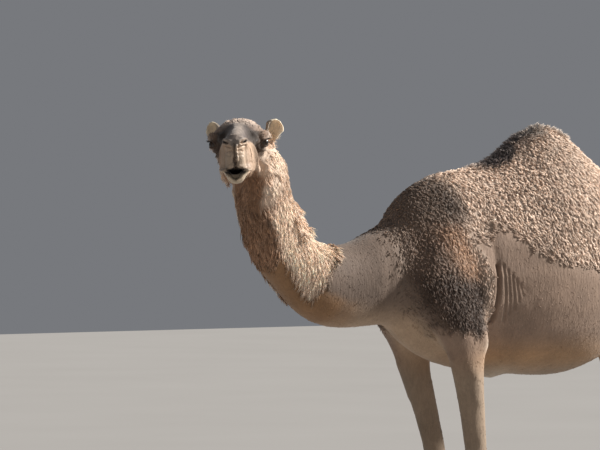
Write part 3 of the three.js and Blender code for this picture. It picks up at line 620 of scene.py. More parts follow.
def paint(points, at):
    x, z = at["x"], at["z"]
    tone = {name: np.array(value) for name, value in tones.items()}
    colour = np.tile(tone["flank"], (len(points), 1))
    colour = mix(colour, tone["belly"], ramp(-z, -1.22, -1.06) * ramp(x, -0.2, 0.2))
    colour = mix(colour, tone["neckBase"], ramp(-x, 0.15, 0.35))
    colour = mix(colour, tone["chest"], ramp(-z, -1.38, -1.22) * ramp(-x, -0.15, 0.1) * ramp(-at["side"], -0.20, -0.15))
    colour = mix(colour, tone["leg"], ramp(-z, -1.12, -0.98))
    colour = mix(colour, tone["tan"], at["wool"])
    # Hump crest dark grey in front and paler behind: dark hair, and painted shade on the front slope
    colour = mix(colour, mix(tone["humpCrestAndPaintedShade"], tone["humpTop"], ramp(x, 0.46, 0.55)), at["humpCrestAndPaintedShade"] * 0.9)
    patch = mix(tone["patch"], tone["patchMiddle"], ramp(z, 1.42, 1.50))
    patch = mix(patch, tone["patchTop"], ramp(z, 1.60, 1.74))
    patch = mix(patch, tone["patch"], 0.75 * bell(np.hypot(x + 0.055, (z - 1.775) * 1.1), 0.075))
    rear = np.interp(z, patchEdge["z"], patchEdge["rear"])
    front = np.interp(z, patchEdge["z"], patchEdge["front"])
    patch = mix(patch, tone["patchRed"], 0.9 * ramp(z, 1.40, 1.50) * ramp(-z, -1.72, -1.62) * ramp(x - rear, -0.25, -0.11))
    patch = mix(patch, tone["patchEdge"], 0.9 * ramp((front - x) / (0.30 + 0.7 * ramp(z, 1.56, 1.68)), -0.20, -0.06))
    # The patch's rear edge turns tan: partly the wool's own tan, partly a painted sunlit rim
    patch = mix(patch, tone["tan"], 0.85 * ramp(x - rear, -0.080, -0.015) * ramp(z, 1.22, 1.27)
                * (1 - 0.6 * ramp(z, 1.62, 1.72)))
    colour = mix(colour, tone["patchEdge"], 0.5 * ramp(x - front, -0.16, -0.02) * ramp(-x + front, -0.1, 0.0) * ramp(z, 1.22, 1.4))
    colour = mix(colour, patch, at["patch"] * (1 - 0.5 * ramp(z, 1.82, 1.92)))
    colour = mix(colour, tone["mantle"], at["mantle"])
    # The low front of the neck in golden brown: its own brown, warmed as painted bounce light
    colour = mix(colour, tone["lowNeckAndBounceLight"], 0.9 * at["lowNeckAndBounceLight"])
    colour = mix(colour, tone["brush"], at["brush"])
    face = np.tile(tone["face"], (len(points), 1))
    face = mix(face, tone["bridge"], ramp(at["lz"] + 0.03 * bell(at["ls"], 0.020), -0.010, 0.010) * ramp(-at["lx"], -0.345, -0.320))
    # Both slopes of the bridge darker: darker hair, and painted shade; on the animal's right side the dark reaches
    # nearer the middle, painted shade on the side turned from the sun
    paintedShadeEdge = at["ls"] + 0.015 * ramp(-at["ly"], 0.0, 0.010)
    face = mix(face, tone["bridgeDarkAndPaintedShade"], 0.9 * ramp(paintedShadeEdge, 0.018, 0.040) * ramp(at["lz"], -0.010, 0.015) * ramp(at["lx"], -0.01, 0.05)
               * ramp(-at["lx"], -0.29, -0.25))
    speckle = grain(points, 0.013, 11)
    mottled = at["head"] * ramp(at["lz"], 0.0, 0.03) * ramp(at["lx"], 0.0, 0.06) * ramp(-at["ls"], -0.050, -0.030)
    face = face * (1 + 0.9 * mottled * (speckle - 0.5))[:, None]
    face = mix(face, tone["crown"], at["crown"])
    face = mix(face, tone["lips"], ramp(at["lx"], 0.24, 0.29) * ramp(-at["lz"], 0.0, 0.06))
    # Sides of the muzzle darker reddish brown, their own tone; the extra share on the animal's left side is painted
    # shade on the sunlit side
    face = mix(face, tone["cheekDarkAndPaintedShade"], (0.22 + 0.12 * ramp(at["ly"], 0.0, 0.02)) * ramp(at["ls"], 0.034, 0.050) * ramp(at["lx"], 0.14, 0.20))
    face = mix(face, tone["lowerLip"], ramp(at["lx"], 0.20, 0.26) * ramp(-at["lz"], 0.112, 0.125))
    # Inside the open lower lip: near black at the opening, painted shadow of the mouth, grading to the lip's inner face
    face = mix(face, mix(tone["mouthShadow"], tone["lipInside"], ramp(-at["lz"], 0.124, 0.136)), lipHollow(at))
    face = mix(face, tone["beard"], 0.75 * ramp(-at["lz"], 0.13, 0.17) * ramp(-at["lx"], -0.16, -0.08))
    face = mix(face, tone["mantle"], at["mantle"])
    mirrored = np.stack([at["lx"], at["ls"], at["lz"]], axis=1)
    for place, size, name, strength in spots:
        face = mix(face, tone[name], strength * bell(np.linalg.norm(mirrored - place, axis=1), size))
    face = mix(face, tone["lips"], 0.4 * bell(nostrilGap(at) - 0.0080, 0.0040))
    face = mix(face, tone["nostril"], ramp(-nostrilGap(at), -0.0052, -0.0024))
    # A dark line down the split of the upper lip: painted shade in the cleft
    face = mix(face, tone["nostril"], 0.85 * ramp(at["lx"], 0.29, 0.30) * bell(at["ly"], 0.0022 + 0.0035 * ramp(-at["lz"], 0.06, 0.10))
               * ramp(-at["lz"], 0.000, 0.03) * ramp(at["lz"], -0.112, -0.104))
    # The slit of the open mouth: near black, painted shadow of the mouth's inside
    face = mix(face, tone["mouthShadow"], ramp(at["lx"], 0.10, 0.14) * ramp(-at["lx"], -0.309, -0.298)
               * bell((at["lz"] + 0.120) / 0.014, 1.0) * ramp(-at["ls"], -0.044, -0.036))
    face = mix(face, mix(tone["earInside"], tone["earEdge"], at["earRim"]), at["ear"])
    # Darker low in each ear's cup and in the gap between ear and crown: painted shade
    face = mix(face, tone["crownSpotAndEarShadow"], 0.8 * at["ear"] * at["earInner"])
    face = mix(face, tone["crownSpotAndEarShadow"], 0.85 * bell(np.linalg.norm(mirrored - (-0.105, 0.096, 0.062), axis=1), 0.020))
    colour = mix(colour, face, at["head"])
    streak = grain(points * (1, 1, 0.3), 0.02, 6)
    colour = mix(colour, mix(tone["beard"] * 0.88, tone["patchRed"], 0.80 * streak), at["beard"])
    colour = mix(colour, tone["callus"], 0.8 * bell(np.linalg.norm(np.stack([x - 0.303, at["side"] * 0.9, z - 1.020], 1), axis=1), 0.075))
    colour = mix(colour, tone["callus"], 0.8 * bell(np.linalg.norm(np.stack([x - 0.066, at["side"] - 0.24, z - 1.155], 1), axis=1), 0.032))
    smudge = np.linalg.norm(np.stack([x + 0.125, at["side"] - 0.195, z - 1.115], 1) * (1, 0.6, 1.2), axis=1)
    colour = mix(colour, tone["patchMiddle"], 0.55 * bell(smudge, 0.030))
    knee = np.hypot(x - 0.03, z - 0.625)
    colour = mix(colour, tone["callus"], 0.5 * bell(knee, 0.05) * at["leg"])
    colour = mix(colour, tone["sole"], ramp(-z, -0.035, -0.012))
    broad = grain(points, 0.16, 8)
    fine = grain(points, 0.035, 9)
    return colour * (0.86 + 0.18 * broad + 0.14 * fine)[:, None]


def putShade(mesh, colours, name="shade"):
    layer = mesh.color_attributes.new(name=name, type="FLOAT_COLOR", domain="POINT")
    values = np.ones((len(colours), 4), np.float32)
    values[:, :3] = np.clip(colours, 0, 1)
    layer.data.foreach_set("color", values.ravel())


def putNumber(mesh, numbers, name):
    layer = mesh.attributes.new(name=name, type="FLOAT", domain="POINT")
    layer.data.foreach_set("value", numbers.astype(np.float32))


# The skin's unwrap, which the tufts share
pick(skin)
bpy.ops.object.shade_smooth()
while skin.data.uv_layers:
    skin.data.uv_layers.remove(skin.data.uv_layers[0])
skin.data.uv_layers.new(name="OFBake")
bpy.ops.object.mode_set(mode="EDIT")
bpy.ops.mesh.select_all(action="SELECT")
bpy.ops.uv.smart_project(angle_limit=1.15, island_margin=0.001, scale_to_bounds=True)
bpy.ops.object.mode_set(mode="OBJECT")
say("skin unwrapped")

points = readPoints(skin.data)
at = zones(points)
woolly = np.clip(at["wool"] + at["patch"] + at["mantle"] * 0.6 + at["beard"] + at["crown"] + at["brush"], 0, 1)
# Under the fur the skin is painted darker: painted shade in the gaps between the tufts
skinToneWithGapShade = paint(points, at) * mix(1.0, 0.62, woolly)[:, None]
putShade(skin.data, skinToneWithGapShade)
putNumber(skin.data, woolly, "woolly")
bare = at["head"] * ramp(at["lx"], 0.22, 0.29)
putNumber(skin.data, bare, "bare")

mesh = skin.data
mesh.calc_loop_triangles()
count = len(mesh.loop_triangles)
triPoints = np.empty(count * 3, np.int32)
mesh.loop_triangles.foreach_get("vertices", triPoints)
triPoints = triPoints.reshape(-1, 3)
triLoops = np.empty(count * 3, np.int32)
mesh.loop_triangles.foreach_get("loops", triLoops)
triLoops = triLoops.reshape(-1, 3)
uvs = np.empty(len(mesh.loops) * 2, np.float32)
mesh.uv_layers["OFBake"].data.foreach_get("uv", uvs)
uvs = uvs.reshape(-1, 2)
normals = readNormals(mesh)
corners = points[triPoints]
triArea = np.linalg.norm(np.cross(corners[:, 1] - corners[:, 0], corners[:, 2] - corners[:, 0]), axis=1) / 2
triCentre = corners.mean(1)
triAt = zones(triCentre)
local = triAt["local"]
eyeClear = np.minimum(np.linalg.norm(local - eyeSpots[1], axis=1), np.linalg.norm(local - eyeSpots[-1], axis=1))
triOpen = (eyeClear > 0.0285) & ~((triAt["lx"] > 0.14) & (triAt["lx"] < 0.312) & (np.abs(triAt["lz"] + 0.118) < 0.014) & (triAt["ls"] < 0.050))
triOpen &= nostrilGap(triAt) > 0.004
say(f"skin has {count} triangles")


def plant(share, spacing):
    # roots spread evenly over the skin, closer where share is higher
    wanted = triArea * share * triOpen / spacing ** 2
    total = wanted.sum()
    draws = int(total * 3)
    edges = np.cumsum(wanted)
    which = np.searchsorted(edges, chance.random(draws) * edges[-1])
    a, b = chance.random(draws), chance.random(draws)
    over = a + b > 1
    a[over], b[over] = 1 - a[over], 1 - b[over]
    weights = np.stack([1 - a - b, a, b], 1)
    place = (corners[which] * weights[:, :, None]).sum(1)
    cell = np.floor(place / (spacing * 0.82)).astype(np.int64)
    key = cell[:, 0] * 1000003 + cell[:, 1] * 10007 + cell[:, 2]
    first = np.unique(key, return_index=True)[1]
    first = chance.permutation(first)[:int(total)]
    which, weights = which[first], weights[first]
    out = unit((normals[triPoints[which]] * weights[:, :, None]).sum(1))
    uv = (uvs[triLoops[which]] * weights[:, :, None]).sum(1)
    return place[first], out, uv


def lieOf(points, out, at):
    # the way the hair lies
    n = len(points)
    way = np.tile([1.0, 0, -0.45], (n, 1))
    way = mix(way, np.array([0.30, 0, -1.0]), np.maximum(ramp(-points[:, 2], -1.45, -1.15), np.maximum(at["wool"], at["patch"])))
    way = mix(way, np.array([0.08, 0, -1.0]), at["leg"])
    way = mix(way, -at["neckAlong"] * 0.6 + np.array([0, 0, -0.75]), at["neck"])
    way = mix(way, np.array([-0.12, 0, -1.0]), at["neck"] * ramp(-at["neckPlace"], -5.6, -4.8))
    way = mix(way, np.array([0.0, 0, -1.0]), at["tail"])
    cheek = ramp(-at["lz"], 0.0, 0.08)
    rearward = ramp(-at["lx"], 0.0, 0.06)
    face = fromHead(np.stack([np.full(n, -1.0) + 0.55 * rearward, np.zeros(n), 0.35 - 1.15 * cheek - 1.0 * rearward], 1))
    way = mix(way, face, at["head"])
    for side, ear in earStands.items():
        near = at["ear"] * (np.sign(at["ly"]) == side)
        way = mix(way, fromHead(unit(np.array(ear["up"]))), near)
    way = way - dots(way, out)[:, None] * out
    return unit(way)


def growTufts(name, share, finish, care):
    roots, out, uv = plant(share, care["spacing"])
    at = zones(roots)
    n = len(roots)
    along = lieOf(roots, out, at)
    aside = np.cross(out, along)
    clumpAt, _, _ = plant(share, care["clump"])
    tree = kdtree.KDTree(len(clumpAt))
    for i, spot in enumerate(clumpAt):
        tree.insert(spot, i)
    tree.balance()
    nearest = np.array([tree.find(root)[1] for root in roots])
    centre = clumpAt[nearest]
    clumpChance = chance.random((len(clumpAt), 5))[nearest]
    own = chance.random((n, 6))
    rings = care["rings"]
    length = care["length"] * (0.75 + 0.25 * clumpChance[:, 0] + 0.3 * own[:, 0]) * mix(1.0, care.get("headShare", 1.0), at["head"])
    width = care["width"] * (0.75 + 0.5 * own[:, 1])
    stand = np.radians(care["stand"] * (0.7 + 0.6 * clumpChance[:, 1]) + 16 * (own[:, 2] - 0.5))
    bend = np.radians(care["bend"] * (0.8 + 0.4 * own[:, 3]))
    yaw = np.radians(care["stray"] * 2 * (0.7 * clumpChance[:, 2] + 0.3 * own[:, 4] - 0.5))
    curl = np.radians(care["curl"] * 2 * (0.75 * clumpChance[:, 3] + 0.25 * own[:, 5] - 0.5))
    steps = np.arange(rings + 1) / rings
    path = np.empty((n, rings + 1, 3))
    facing = np.empty((n, rings + 1, 3))
    path[:, 0] = roots - out * care["sunk"]
    for k in range(rings + 1):
        lift = stand - bend * steps[k]
        swing = yaw + curl * steps[k]
        flat = along * np.cos(swing)[:, None] + aside * np.sin(swing)[:, None]
        facing[:, k] = flat * np.cos(lift)[:, None] + out * np.sin(lift)[:, None]
        if k < rings:
            path[:, k + 1] = path[:, k] + facing[:, k] * (length / rings)[:, None]
    pull = care["pull"] * steps[None, :, None] ** 0.8
    path = path + pull * (centre - roots)[:, None, :]
    tint = paint(roots, at)
    tint = tint * (care["light"] * (0.78 + 0.26 * clumpChance[:, 4] + 0.20 * own[:, 1]))[:, None]
    setLocks(name, path, facing, out, width, own[:, 5:6] * 2.1, uv, tint, care["rootPaintedShade"], finish)


def setLocks(name, path, facing, out, width, spin, uv, tint, rootPaintedShade, finish):
    # a closed three-sided lock along each path, thinning to its end
    n, rings = len(path), path.shape[1] - 1
    steps = np.arange(rings + 1) / rings
    acrossWay = unit(np.cross(facing, out[:, None, :]) + 1e-6)
    upWay = np.cross(acrossWay, facing)
    profile = np.interp(steps[:-1], [0, 0.3, 0.7, 1.0], [0.8, 1.0, 0.8, 0.35])
    verts = np.empty((n, rings * 3 + 1, 3))
    for k in range(rings):
        size = (width * profile[k] / 2)[:, None]
        for c in range(3):
            angle = spin + c * 2 * math.pi / 3
            verts[:, k * 3 + c] = path[:, k] + size * (np.cos(angle) * acrossWay[:, k] + 0.75 * np.sin(angle) * upWay[:, k])
    verts[:, -1] = path[:, -1]
    # Each lock is darker at its root and a little lighter at its tip: the darker root is painted shade in the gaps
    # between the locks
    paintedShadeAlongLock = np.interp(steps, [0, 0.35, 0.8, 1], [rootPaintedShade, 0.5 + 0.5 * rootPaintedShade, 1.0, 1.12])
    shade = np.empty((n, rings * 3 + 1, 3))
    for k in range(rings):
        shade[:, k * 3:k * 3 + 3] = (tint * paintedShadeAlongLock[k])[:, None, :]
    shade[:, -1] = tint * paintedShadeAlongLock[-1]
    patch = np.array([[(c - 1) * 0.0011, (k / rings - 0.5) * 0.0028] for k in range(rings) for c in range(3)] + [[0, 0.0014]])
    faces = [(0, 2, 1)]
    for k in range(rings - 1):
        for c in range(3):
            d = (c + 1) % 3
            faces.append((k * 3 + c, k * 3 + d, k * 3 + 3 + d, k * 3 + 3 + c))
    last = (rings - 1) * 3
    faces += [(last + c, last + (c + 1) % 3, last + 3) for c in range(3)]
    each = 4 + 6 * (rings - 1)
    parts = max(1, math.ceil(n * each / 198000))
    order = np.argsort(path[:, 0, 0] + path[:, 0, 1] * 0.01, kind="stable")
    for part, chosen in enumerate(np.array_split(order, parts)):
        label = name if parts == 1 else f"{name}_{part + 1}"
        piece = tuftMesh(label, verts[chosen], faces, uv[chosen], patch, shade[chosen])
        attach(piece, "root")
        piece.data.materials.append(finish)
        print(label, len(chosen), "tufts", len(chosen) * each, "triangles")


def tuftMesh(name, verts, faces, uv, patch, shade):
    n, each = verts.shape[:2]
    loops = np.concatenate(faces)
    sizes = np.array([len(f) for f in faces])
    starts = np.concatenate([[0], np.cumsum(sizes)[:-1]])
    mesh = bpy.data.meshes.new(name)
    mesh.vertices.add(n * each)
    mesh.vertices.foreach_set("co", verts.astype(np.float32).ravel())
    mesh.loops.add(n * len(loops))
    mesh.loops.foreach_set("vertex_index", (np.arange(n)[:, None] * each + loops).ravel().astype(np.int32))
    mesh.polygons.add(n * len(faces))
    mesh.polygons.foreach_set("loop_start", (np.arange(n)[:, None] * len(loops) + starts).ravel().astype(np.int32))
    mesh.polygons.foreach_set("use_smooth", np.ones(n * len(faces), bool))
    mesh.update(calc_edges=True)
    layer = mesh.uv_layers.new(name="OFBake")
    layer.data.foreach_set("uv", (uv[:, None, :] + patch[loops][None]).astype(np.float32).ravel())
    putShade(mesh, shade.reshape(-1, 3))
    piece = bpy.data.objects.new(name, mesh)
    bpy.context.scene.collection.objects.link(piece)
    return piece


# Shader maths
class Wire:
    def __init__(self, tree, socket=None):
        self.tree, self.socket = tree, socket

    def node(self, kind, settings=None, inputs=None, output=0):
        made = self.tree.nodes.new(kind)
        for name, value in (settings or {}).items():
            if name == "stops":
                ramp = made.color_ramp.elements
                while len(ramp) < len(value):
                    ramp.new(0.5)
                for element, (spot, colour) in zip(ramp, value):
                    element.position = spot
                    element.color = (*colour, 1)
            else:
                setattr(made, name, value)
        for name, value in (inputs or {}).items():
            if isinstance(value, Wire):
                self.tree.links.new(value.socket, made.inputs[name])
            else:
                made.inputs[name].default_value = value
        return Wire(self.tree, made.outputs[output])

    def sum(self, operation, a, b):
        return self.node("ShaderNodeMath", {"operation": operation}, {0: a, 1: b})

    def __add__(self, other):
        return self.sum("ADD", self, other)

    __radd__ = __add__

    def __sub__(self, other):
        return self.sum("SUBTRACT", self, other)

    def __rsub__(self, other):
        return self.sum("SUBTRACT", other, self)

    def __mul__(self, other):
        return self.sum("MULTIPLY", self, other)

    __rmul__ = __mul__

    def blend(self, a, b, kind="MIX"):
        return self.node("ShaderNodeMix", {"data_type": "RGBA", "blend_type": kind}, {0: self, 6: a, 7: b}, 2)


def finishOf(name, **constants):
    material = bpy.data.materials.new(name)
    material.use_nodes = True
    shader = material.node_tree.nodes["Principled BSDF"]
    for socket, value in constants.items():
        shader.inputs[socket.replace("_", " ")].default_value = value
    start = Wire(material.node_tree)

    def plug(socket, wire):
        material.node_tree.links.new(wire.socket, shader.inputs[socket])
    return material, start, plug


def hairFinish(name, roughness=0.72):
    material, start, plug = finishOf(name, Specular_IOR_Level=0.25, Sheen_Weight=0.12, Sheen_Roughness=0.5)
    place = start.node("ShaderNodeTexCoord", output=3)
    shade = start.node("ShaderNodeAttribute", {"attribute_name": "shade"})
    strand = start.node("ShaderNodeTexNoise", None, {"Vector": place, "Scale": 420.0, "Detail": 2.0})
    clump = start.node("ShaderNodeTexNoise", None, {"Vector": place, "Scale": 60.0, "Detail": 2.0})
    dark = strand * 0.5 + clump * 0.5
    tone = dark.node("ShaderNodeMapRange", None, {0: dark, 1: 0.3, 2: 0.7, 3: 0.72, 4: 1.28})
    plug("Base Color", shade.node("ShaderNodeVectorMath", {"operation": "SCALE"}, {0: shade, "Scale": tone}))
    plug("Roughness", strand * 0.25 + (roughness - 0.12))
    return material


def skinFinish():
    material, start, plug = finishOf("short coat", Specular_IOR_Level=0.28, Sheen_Weight=0.15, Sheen_Roughness=0.5)
    place = start.node("ShaderNodeTexCoord", output=3)
    shade = start.node("ShaderNodeAttribute", {"attribute_name": "shade"})
    woolly = start.node("ShaderNodeAttribute", {"attribute_name": "woolly"}, output=2)
    bare = start.node("ShaderNodeAttribute", {"attribute_name": "bare"}, output=2)
    stretched = start.node("ShaderNodeMapping", None, {"Vector": place, "Scale": (1.0, 1.0, 0.28)})
    hair = start.node("ShaderNodeTexNoise", None, {"Vector": stretched, "Scale": 320.0, "Detail": 3.0, "Roughness": 0.6})
    tuft = start.node("ShaderNodeTexNoise", None, {"Vector": stretched, "Scale": 90.0, "Detail": 3.0})
    broad = start.node("ShaderNodeTexNoise", None, {"Vector": place, "Scale": 9.0, "Detail": 3.0})
    curls = start.node("ShaderNodeTexVoronoi", {"feature": "SMOOTH_F1"}, {"Vector": place, "Scale": 55.0, "Smoothness": 0.6})
    value = hair * 0.45 + tuft * 0.35 + broad * 0.35
    tone = value.node("ShaderNodeMapRange", None, {0: value, 1: 0.40, 2: 0.74, 3: 0.80, 4: 1.20})
    plug("Base Color", shade.node("ShaderNodeVectorMath", {"operation": "SCALE"}, {0: shade, "Scale": tone}))
    plug("Roughness", 0.82 - bare * 0.30 - hair * 0.12)
    height = (hair * 0.0012 + tuft * 0.0022) * (1 - bare * 0.7) + (1 - curls) * woolly * 0.008
    plug("Normal", height.node("ShaderNodeBump", None, {"Strength": 0.9, "Distance": 1.0, "Height": height}))
    return material


skinLook = skinFinish()
skin.data.materials.append(skinLook)
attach(skin, "root")
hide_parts(*flesh)

woolHair = hairFinish("wool")
longHair = hairFinish("long hair", 0.66)
faceHair = hairFinish("face hair", 0.70)
brushHair = hairFinish("brush hair", 0.66)

coats = {
    "wool": {"spacing": 0.0065, "clump": 0.0135, "rings": 3, "length": 0.022, "width": 0.0058, "stand": 38, "bend": 66,
             "stray": 36, "curl": 66, "pull": 0.55, "sunk": 0.003, "light": 1.16, "rootPaintedShade": 0.72},
    "shoulderWool": {"spacing": 0.0068, "clump": 0.0125, "rings": 3, "length": 0.018, "width": 0.0046, "stand": 36, "bend": 66,
                     "stray": 44, "curl": 70, "pull": 0.5, "sunk": 0.003, "light": 1.18, "rootPaintedShade": 0.66},
    "crest": {"spacing": 0.0062, "clump": 0.016, "rings": 3, "length": 0.030, "width": 0.0040, "stand": 62, "bend": 50,
              "stray": 60, "curl": 50, "pull": 0.35, "sunk": 0.003, "light": 1.2, "rootPaintedShade": 0.7},
    "mantle": {"spacing": 0.0046, "clump": 0.0125, "rings": 3, "length": 0.046, "width": 0.0026, "stand": 11, "bend": 17,
               "stray": 16, "curl": 30, "pull": 0.62, "sunk": 0.003, "light": 1.14, "rootPaintedShade": 0.78, "headShare": 0.6},
    "comb": {"spacing": 0.0058, "clump": 0.024, "rings": 4, "length": 0.056, "width": 0.0038, "stand": 34, "bend": 52,
             "stray": 16, "curl": 20, "pull": 0.8, "sunk": 0.003, "light": 1.15, "rootPaintedShade": 0.6},
    "nape": {"spacing": 0.0062, "clump": 0.022, "rings": 4, "length": 0.056, "width": 0.0034, "stand": 54, "bend": 86,
             "stray": 50, "curl": 50, "pull": 0.6, "sunk": 0.003, "light": 1.1, "rootPaintedShade": 0.7},
    "beard": {"spacing": 0.0058, "clump": 0.020, "rings": 4, "length": 0.052, "width": 0.0040, "stand": 20, "bend": 30,
              "stray": 20, "curl": 40, "pull": 0.55, "sunk": 0.003, "light": 1.15, "rootPaintedShade": 0.65, "headShare": 0.55},
    "face": {"spacing": 0.0052, "clump": 0.012, "rings": 2, "length": 0.0085, "width": 0.0019, "stand": 5, "bend": 8,
             "stray": 25, "curl": 20, "pull": 0.25, "sunk": 0.0008, "light": 1.06, "rootPaintedShade": 0.97},
    "crown": {"spacing": 0.0050, "clump": 0.013, "rings": 3, "length": 0.016, "width": 0.0028, "stand": 18, "bend": 30,
              "stray": 45, "curl": 50, "pull": 0.45, "sunk": 0.002, "light": 1.10, "rootPaintedShade": 0.85},
    "ears": {"spacing": 0.0040, "clump": 0.010, "rings": 2, "length": 0.0064, "width": 0.0018, "stand": 6, "bend": 12,
             "stray": 20, "curl": 20, "pull": 0.3, "sunk": 0.0006, "light": 1.05, "rootPaintedShade": 0.9},
    "short": {"spacing": 0.0156, "clump": 0.034, "rings": 2, "length": 0.0120, "width": 0.0023, "stand": 6, "bend": 8,
              "stray": 18, "curl": 12, "pull": 0.2, "sunk": 0.0008, "light": 1.04, "rootPaintedShade": 0.98},
    "brush": {"spacing": 0.0040, "clump": 0.020, "rings": 4, "length": 0.125, "width": 0.0045, "stand": 3, "bend": 4,
              "stray": 10, "curl": 22, "pull": 0.45, "sunk": 0.002, "light": 1.1, "rootPaintedShade": 0.5},
    "lashes": {"count": 46, "length": 0.017, "width": 0.0010, "rings": 3}}
furry = {name: triAt[name] for name in ("wool", "patch", "humpCrestAndPaintedShade", "mantle", "beard", "crown", "ear", "brush", "head", "napeTuft", "combEdge")}
growTufts("wool", furry["wool"] * (1 - furry["patch"]) * (1 - furry["humpCrestAndPaintedShade"]), woolHair, coats["wool"])
growTufts("shoulder_wool", furry["patch"] * (1 - furry["humpCrestAndPaintedShade"]), woolHair, coats["shoulderWool"])
growTufts("hump_crest", furry["humpCrestAndPaintedShade"], woolHair, coats["crest"])
growTufts("neck_mantle", furry["mantle"] * (1 - furry["beard"]) * (1 - furry["crown"]), longHair, coats["mantle"])
growTufts("mantle_edge_locks", furry["combEdge"], longHair, coats["comb"])
growTufts("nape_tuft", furry["napeTuft"], longHair, coats["nape"])
growTufts("throat_beard", furry["beard"], longHair, coats["beard"])
smooth = furry["head"] * (1 - furry["crown"]) * (1 - furry["ear"]) * (1 - furry["mantle"]) * (1 - furry["beard"])
growTufts("face_coat", smooth * (1 - 0.4 * ramp(triAt["lx"], 0.24, 0.30)), faceHair, coats["face"])
growTufts("crown_wool", furry["crown"], faceHair, coats["crown"])
growTufts("ear_coat", furry["ear"] * furry["head"] * (1 - 0.95 * triAt["earRim"]), faceHair, coats["ears"])
plain = (1 - furry["head"]) * (1 - np.clip(furry["wool"] + furry["patch"] + furry["mantle"] + furry["beard"], 0, 1)) * (1 - furry["brush"])
growTufts("body_coat", plain * ramp(triAt["z"], 0.03, 0.07), faceHair, coats["short"])
growTufts("tail_brush_hair", furry["brush"], brushHair, coats["brush"])


def growLashes(side, care):
    # the long lashes of the upper lid, hanging over the eye
    gaze, ahead, rise = eyeAxes[side]
    n = care["count"]
    across = np.linspace(-0.86, 0.90, n) + 0.03 * (chance.random(n) - 0.5)
    level = np.radians(across * np.where(across > 0, lids["front"], lids["rear"]))
    high = np.radians(-6 * across + lids["upper"] * (1 - across ** 2) ** 0.625)
    flat = np.cos(level)[:, None] * gaze + np.sin(level)[:, None] * ahead
    way = flat * np.cos(high)[:, None] + rise * np.sin(high)[:, None]
    spot = headAt + fromHead(eyeSpots[side] + way * (eyeRadius + lids["roll"]))
    out = fromHead(way)
    down = fromHead(-rise)
    length = care["length"] * (0.8 + 0.4 * chance.random(n)) * (0.7 + 0.3 * (1 - across ** 2))
    rings = care["rings"]
    path, facing = np.empty((2, n, rings + 1, 3))
    path[:, 0] = spot
    for k in range(rings + 1):
        facing[:, k] = unit(out + down * (0.35 + 0.9 * k / rings) + fromHead(ahead) * (0.35 * across)[:, None])
        if k < rings:
            path[:, k + 1] = path[:, k] + facing[:, k] * (length / rings)[:, None]
    near = [lashTree.find(Vector(p))[1] for p in spot]
    tint = np.tile(tones["eyeRing"], (n, 1)) * 0.6
    name = "lashes_left" if side == 1 else "lashes_right"
    setLocks(name, path, facing, out + 0.3 * down, np.full(n, care["width"]), chance.random((n, 1)), triUv[near], tint, 0.8,
             faceHair)


triUv = uvs[triLoops].mean(1)
lashTree = kdtree.KDTree(count)
for i in np.nonzero(eyeClear < 0.06)[0]:
    lashTree.insert(triCentre[i], int(i))
lashTree.balance()
for side in (1, -1):
    growLashes(side, coats["lashes"])
say("coat grown")

# Eyes
eyeMake = {"segments": 64, "rings": 48, "bulge": 0.0016}
for side, node in ((1, "eye_left"), (-1, "eye_right")):
    clearSelection()
    gaze, ahead, rise = eyeAxes[side]
    centre = headAt + fromHead(eyeSpots[side])
    bpy.ops.mesh.primitive_uv_sphere_add(segments=eyeMake["segments"], ring_count=eyeMake["rings"], radius=eyeRadius, location=centre)
    ball = bpy.context.object
    ball.name = ball.data.name = "eyeball_left" if side == 1 else "eyeball_right"
    bpy.ops.object.transform_apply(location=True, rotation=True, scale=True)
    bpy.ops.object.shade_smooth()
    spots3 = readPoints(ball.data)
    way = unit(spots3 - centre)
    look = way @ fromHead(gaze)
    spots3 += way * (eyeMake["bulge"] * ramp(look, 0.72, 0.95))[:, None]
    writePoints(ball.data, spots3)
    putNumber(ball.data, way @ fromHead(ahead), "across")
    putNumber(ball.data, way @ fromHead(rise), "tall")
    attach(ball, "root")
    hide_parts(node)
    material, start, plug = finishOf("eye " + node[4:], Coat_Weight=0.22, Coat_Roughness=0.10, Roughness=0.35, Specular_IOR_Level=0.3)
    across = start.node("ShaderNodeAttribute", {"attribute_name": "across"}, output=2)
    tall = start.node("ShaderNodeAttribute", {"attribute_name": "tall"}, output=2)
    place = start.node("ShaderNodeTexCoord", output=3)
    streak = start.node("ShaderNodeTexNoise", None, {"Vector": place, "Scale": 900.0, "Detail": 2.0})
    reach = (across * across * 1.0 + tall * tall * 3.6)
    iris = (across * across + tall * tall)
    pupil = reach.node("ShaderNodeMapRange", {"interpolation_type": "SMOOTHSTEP"}, {0: reach, 1: 0.14, 2: 0.18, 3: 1.0, 4: 0.0})
    rim = iris.node("ShaderNodeMapRange", {"interpolation_type": "SMOOTHSTEP"}, {0: iris, 1: 0.34, 2: 0.46, 3: 0.0, 4: 1.0})
    brown = streak.blend((0.020, 0.009, 0.004, 1), (0.055, 0.026, 0.012, 1))
    white = rim.blend(brown, (0.060, 0.042, 0.034, 1))
    plug("Base Color", pupil.blend(white, (0.002, 0.002, 0.002, 1)))
    ball.data.materials.append(material)
say("eyes set")

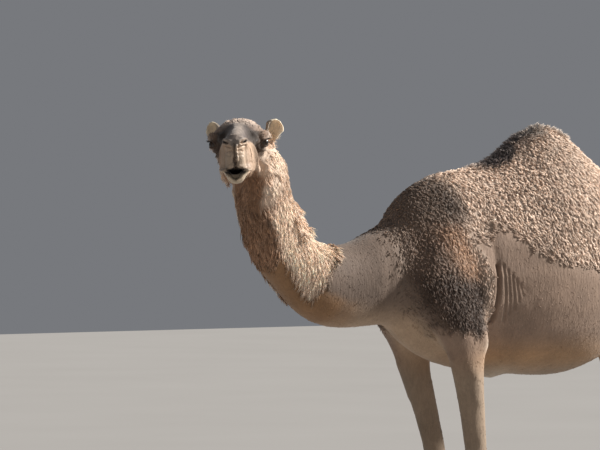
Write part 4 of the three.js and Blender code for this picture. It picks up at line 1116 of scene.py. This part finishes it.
# Nails keep their solids
nailLook, start, plug = finishOf("nail horn", Specular_IOR_Level=0.4)
place = start.node("ShaderNodeTexCoord", output=3)
ridged = start.node("ShaderNodeMapping", None, {"Vector": place, "Scale": (1.0, 1.0, 6.0)})
rings = start.node("ShaderNodeTexNoise", None, {"Vector": ridged, "Scale": 60.0, "Detail": 3.0})
plug("Base Color", rings.blend((0.045, 0.034, 0.028, 1), (0.165, 0.130, 0.100, 1)))
plug("Roughness", rings * 0.25 + 0.38)
plug("Normal", rings.node("ShaderNodeBump", None, {"Strength": 0.5, "Distance": 0.002, "Height": rings}))
for name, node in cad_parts.items():
    if "nail" in name:
        node.data.materials.clear()
        node.data.materials.append(nailLook)

# Floor and light
bpy.ops.mesh.primitive_plane_add(size=60, location=(0, 0, 0))
floor = bpy.context.object
floor.name = "floor"
floorLook, start, plug = finishOf("floor", Roughness=0.9, Specular_IOR_Level=0.1)
place = start.node("ShaderNodeTexCoord", output=3)
mottle = start.node("ShaderNodeTexNoise", None, {"Vector": place, "Scale": 0.6, "Detail": 2.0})
plug("Base Color", mottle.blend((0.34, 0.33, 0.32, 1), (0.37, 0.36, 0.35, 1)))
floor.data.materials.append(floorLook)
world = bpy.data.worlds.new("soft room")
bpy.context.scene.world = world
world.use_nodes = True
world.node_tree.nodes["Background"].inputs["Color"].default_value = (0.90, 0.93, 1.0, 1)
world.node_tree.nodes["Background"].inputs["Strength"].default_value = 0.205
light = {"aside": 17, "height": 30, "away": 9, "size": 1.6, "power": 1500}
aside, height = math.radians(light["aside"]), math.radians(light["height"])
right = Vector((math.cos(math.radians(40)), -math.sin(math.radians(40)), 0))
onward = Vector((math.sin(math.radians(40)), math.cos(math.radians(40)), 0))
toLight = (right * math.cos(aside) + onward * math.sin(aside)) * math.cos(height) + Vector((0, 0, math.sin(height)))
aim = Vector((-0.3, 0, 1.5))
bpy.ops.object.light_add(type="SUN", location=aim + toLight * light["away"], rotation=toLight.to_track_quat("Z", "Y").to_euler())
lamp = bpy.context.object
lamp.data.energy = 7.2
lamp.data.angle = math.radians(9)
lamp.data.color = (1.0, 0.96, 0.90)
bpy.context.scene.view_settings.view_transform = "Standard"

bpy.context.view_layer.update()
say("done")
